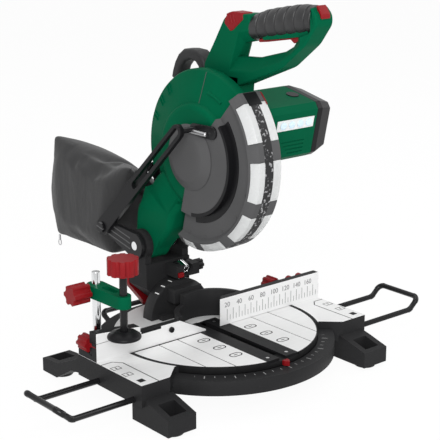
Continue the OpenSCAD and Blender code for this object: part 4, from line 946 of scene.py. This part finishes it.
def ruler_numbers():
    """Plain millimetre numbers on the right fence."""
    print_grey = moulded("print_grey", (0.2, 0.2, 0.205), 0.6)
    for number in range(20, 180, 20):
        bpy.ops.object.select_all(action="DESELECT")
        bpy.ops.object.text_add(location=(number * MM, -0.05 * MM, 78.6 * MM), rotation=(radians(90), 0, 0))
        label = bpy.context.object
        label.data.body = str(number)
        label.data.size = 9.2 * MM
        label.data.extrude = 0.12 * MM
        label.data.align_x = "CENTER"
        bpy.ops.object.convert(target="MESH")
        bpy.ops.object.transform_apply(location=True, rotation=True, scale=True)
        bpy.ops.object.mode_set(mode="EDIT")
        keep("ruler_number_%d" % number, print_grey, "base", slot="black_plastic")


ruler_numbers()


# ---------------------------------------------------------------- studio

# The camera that was fitted to the photograph's ruler, table and base: metres, degrees and millimetres
CAMERA_PLACE = (-0.9634, -1.1553, 0.6250)
CAMERA_DOWN, CAMERA_TURN = 15.91, -40.06
CAMERA_LENS, CAMERA_SENSOR = 104.3, 36
# The kinds of ray that see the floor and the surroundings as white
SHOWN_WHITE = ("Camera", "Glossy", "Transmission")


def studio():
    """Pale floor, white surroundings, three soft lamps and the camera."""
    bpy.ops.object.select_all(action="DESELECT")
    bpy.ops.mesh.primitive_plane_add(size=14.0, location=(0, 0, 0))
    floor = bpy.context.object
    floor.name = "floor"
    pale = Finish("pale_floor")
    path = pale.node("LightPath").socket.node.outputs
    camera_ray, glossy_ray, through_ray = (Wire(pale, path["Is %s Ray" % kind]) for kind in SHOWN_WHITE)
    seen = camera_ray + glossy_ray + through_ray
    pale.set(Base_Color=(0.95, 0.95, 0.95, 1), Roughness=0.9, Specular_IOR_Level=0.0)
    glow = pale.node("Emission", None, {"Color": (1, 1, 1, 1), "Strength": 1.0})
    both = pale.node("MixShader", None, {0: seen.lower(1.0) * 0.95, 1: Wire(pale, pale.shader.outputs[0]), 2: glow})
    pale.plug(pale.tree.nodes["Material Output"].inputs["Surface"], both)
    floor.data.materials.append(pale.material)

    world = bpy.data.worlds.new("white_room")
    world.use_nodes = True
    scene.world = world
    tree = world.node_tree
    room = tree.nodes["Background"]
    room.inputs["Color"].default_value = (1, 1, 1, 1)
    room.inputs["Strength"].default_value = 0.5
    white = tree.nodes.new("ShaderNodeBackground")
    rays = tree.nodes.new("ShaderNodeLightPath").outputs
    first = tree.nodes.new("ShaderNodeMath")
    second = tree.nodes.new("ShaderNodeMath")
    first.operation = second.operation = "MAXIMUM"
    blend = tree.nodes.new("ShaderNodeMixShader")
    for kind, socket in zip(SHOWN_WHITE, (first.inputs[0], first.inputs[1], second.inputs[1])):
        tree.links.new(rays["Is %s Ray" % kind], socket)
    tree.links.new(first.outputs[0], second.inputs[0])
    tree.links.new(second.outputs[0], blend.inputs[0])
    tree.links.new(room.outputs[0], blend.inputs[1])
    tree.links.new(white.outputs[0], blend.inputs[2])
    tree.links.new(blend.outputs[0], tree.nodes["World Output"].inputs["Surface"])

    for name, place, size, power in (
        ("key_lamp", (-1.5, -1.7, 1.4), 1.3, 50.0),
        ("side_lamp", (1.9, -0.7, 1.2), 1.4, 14.0),
        ("top_lamp", (0.2, 0.4, 2.3), 1.6, 15.0),
    ):
        bpy.ops.object.light_add(type="AREA", location=place)
        lamp = bpy.context.object
        lamp.name = name
        lamp.data.size = size
        lamp.data.energy = power
        aim = Vector((0, 0, 0.2)) - Vector(place)
        lamp.rotation_euler = aim.to_track_quat("-Z", "Y").to_euler()

    bpy.ops.object.camera_add(location=CAMERA_PLACE, rotation=(radians(90 - CAMERA_DOWN), 0, radians(CAMERA_TURN)))
    camera = bpy.context.object
    camera.name = "camera"
    camera.data.lens = CAMERA_LENS
    camera.data.sensor_width = CAMERA_SENSOR
    camera.data.sensor_fit = "HORIZONTAL"
    scene.camera = camera
    scene.view_settings.view_transform = "Standard"


studio()
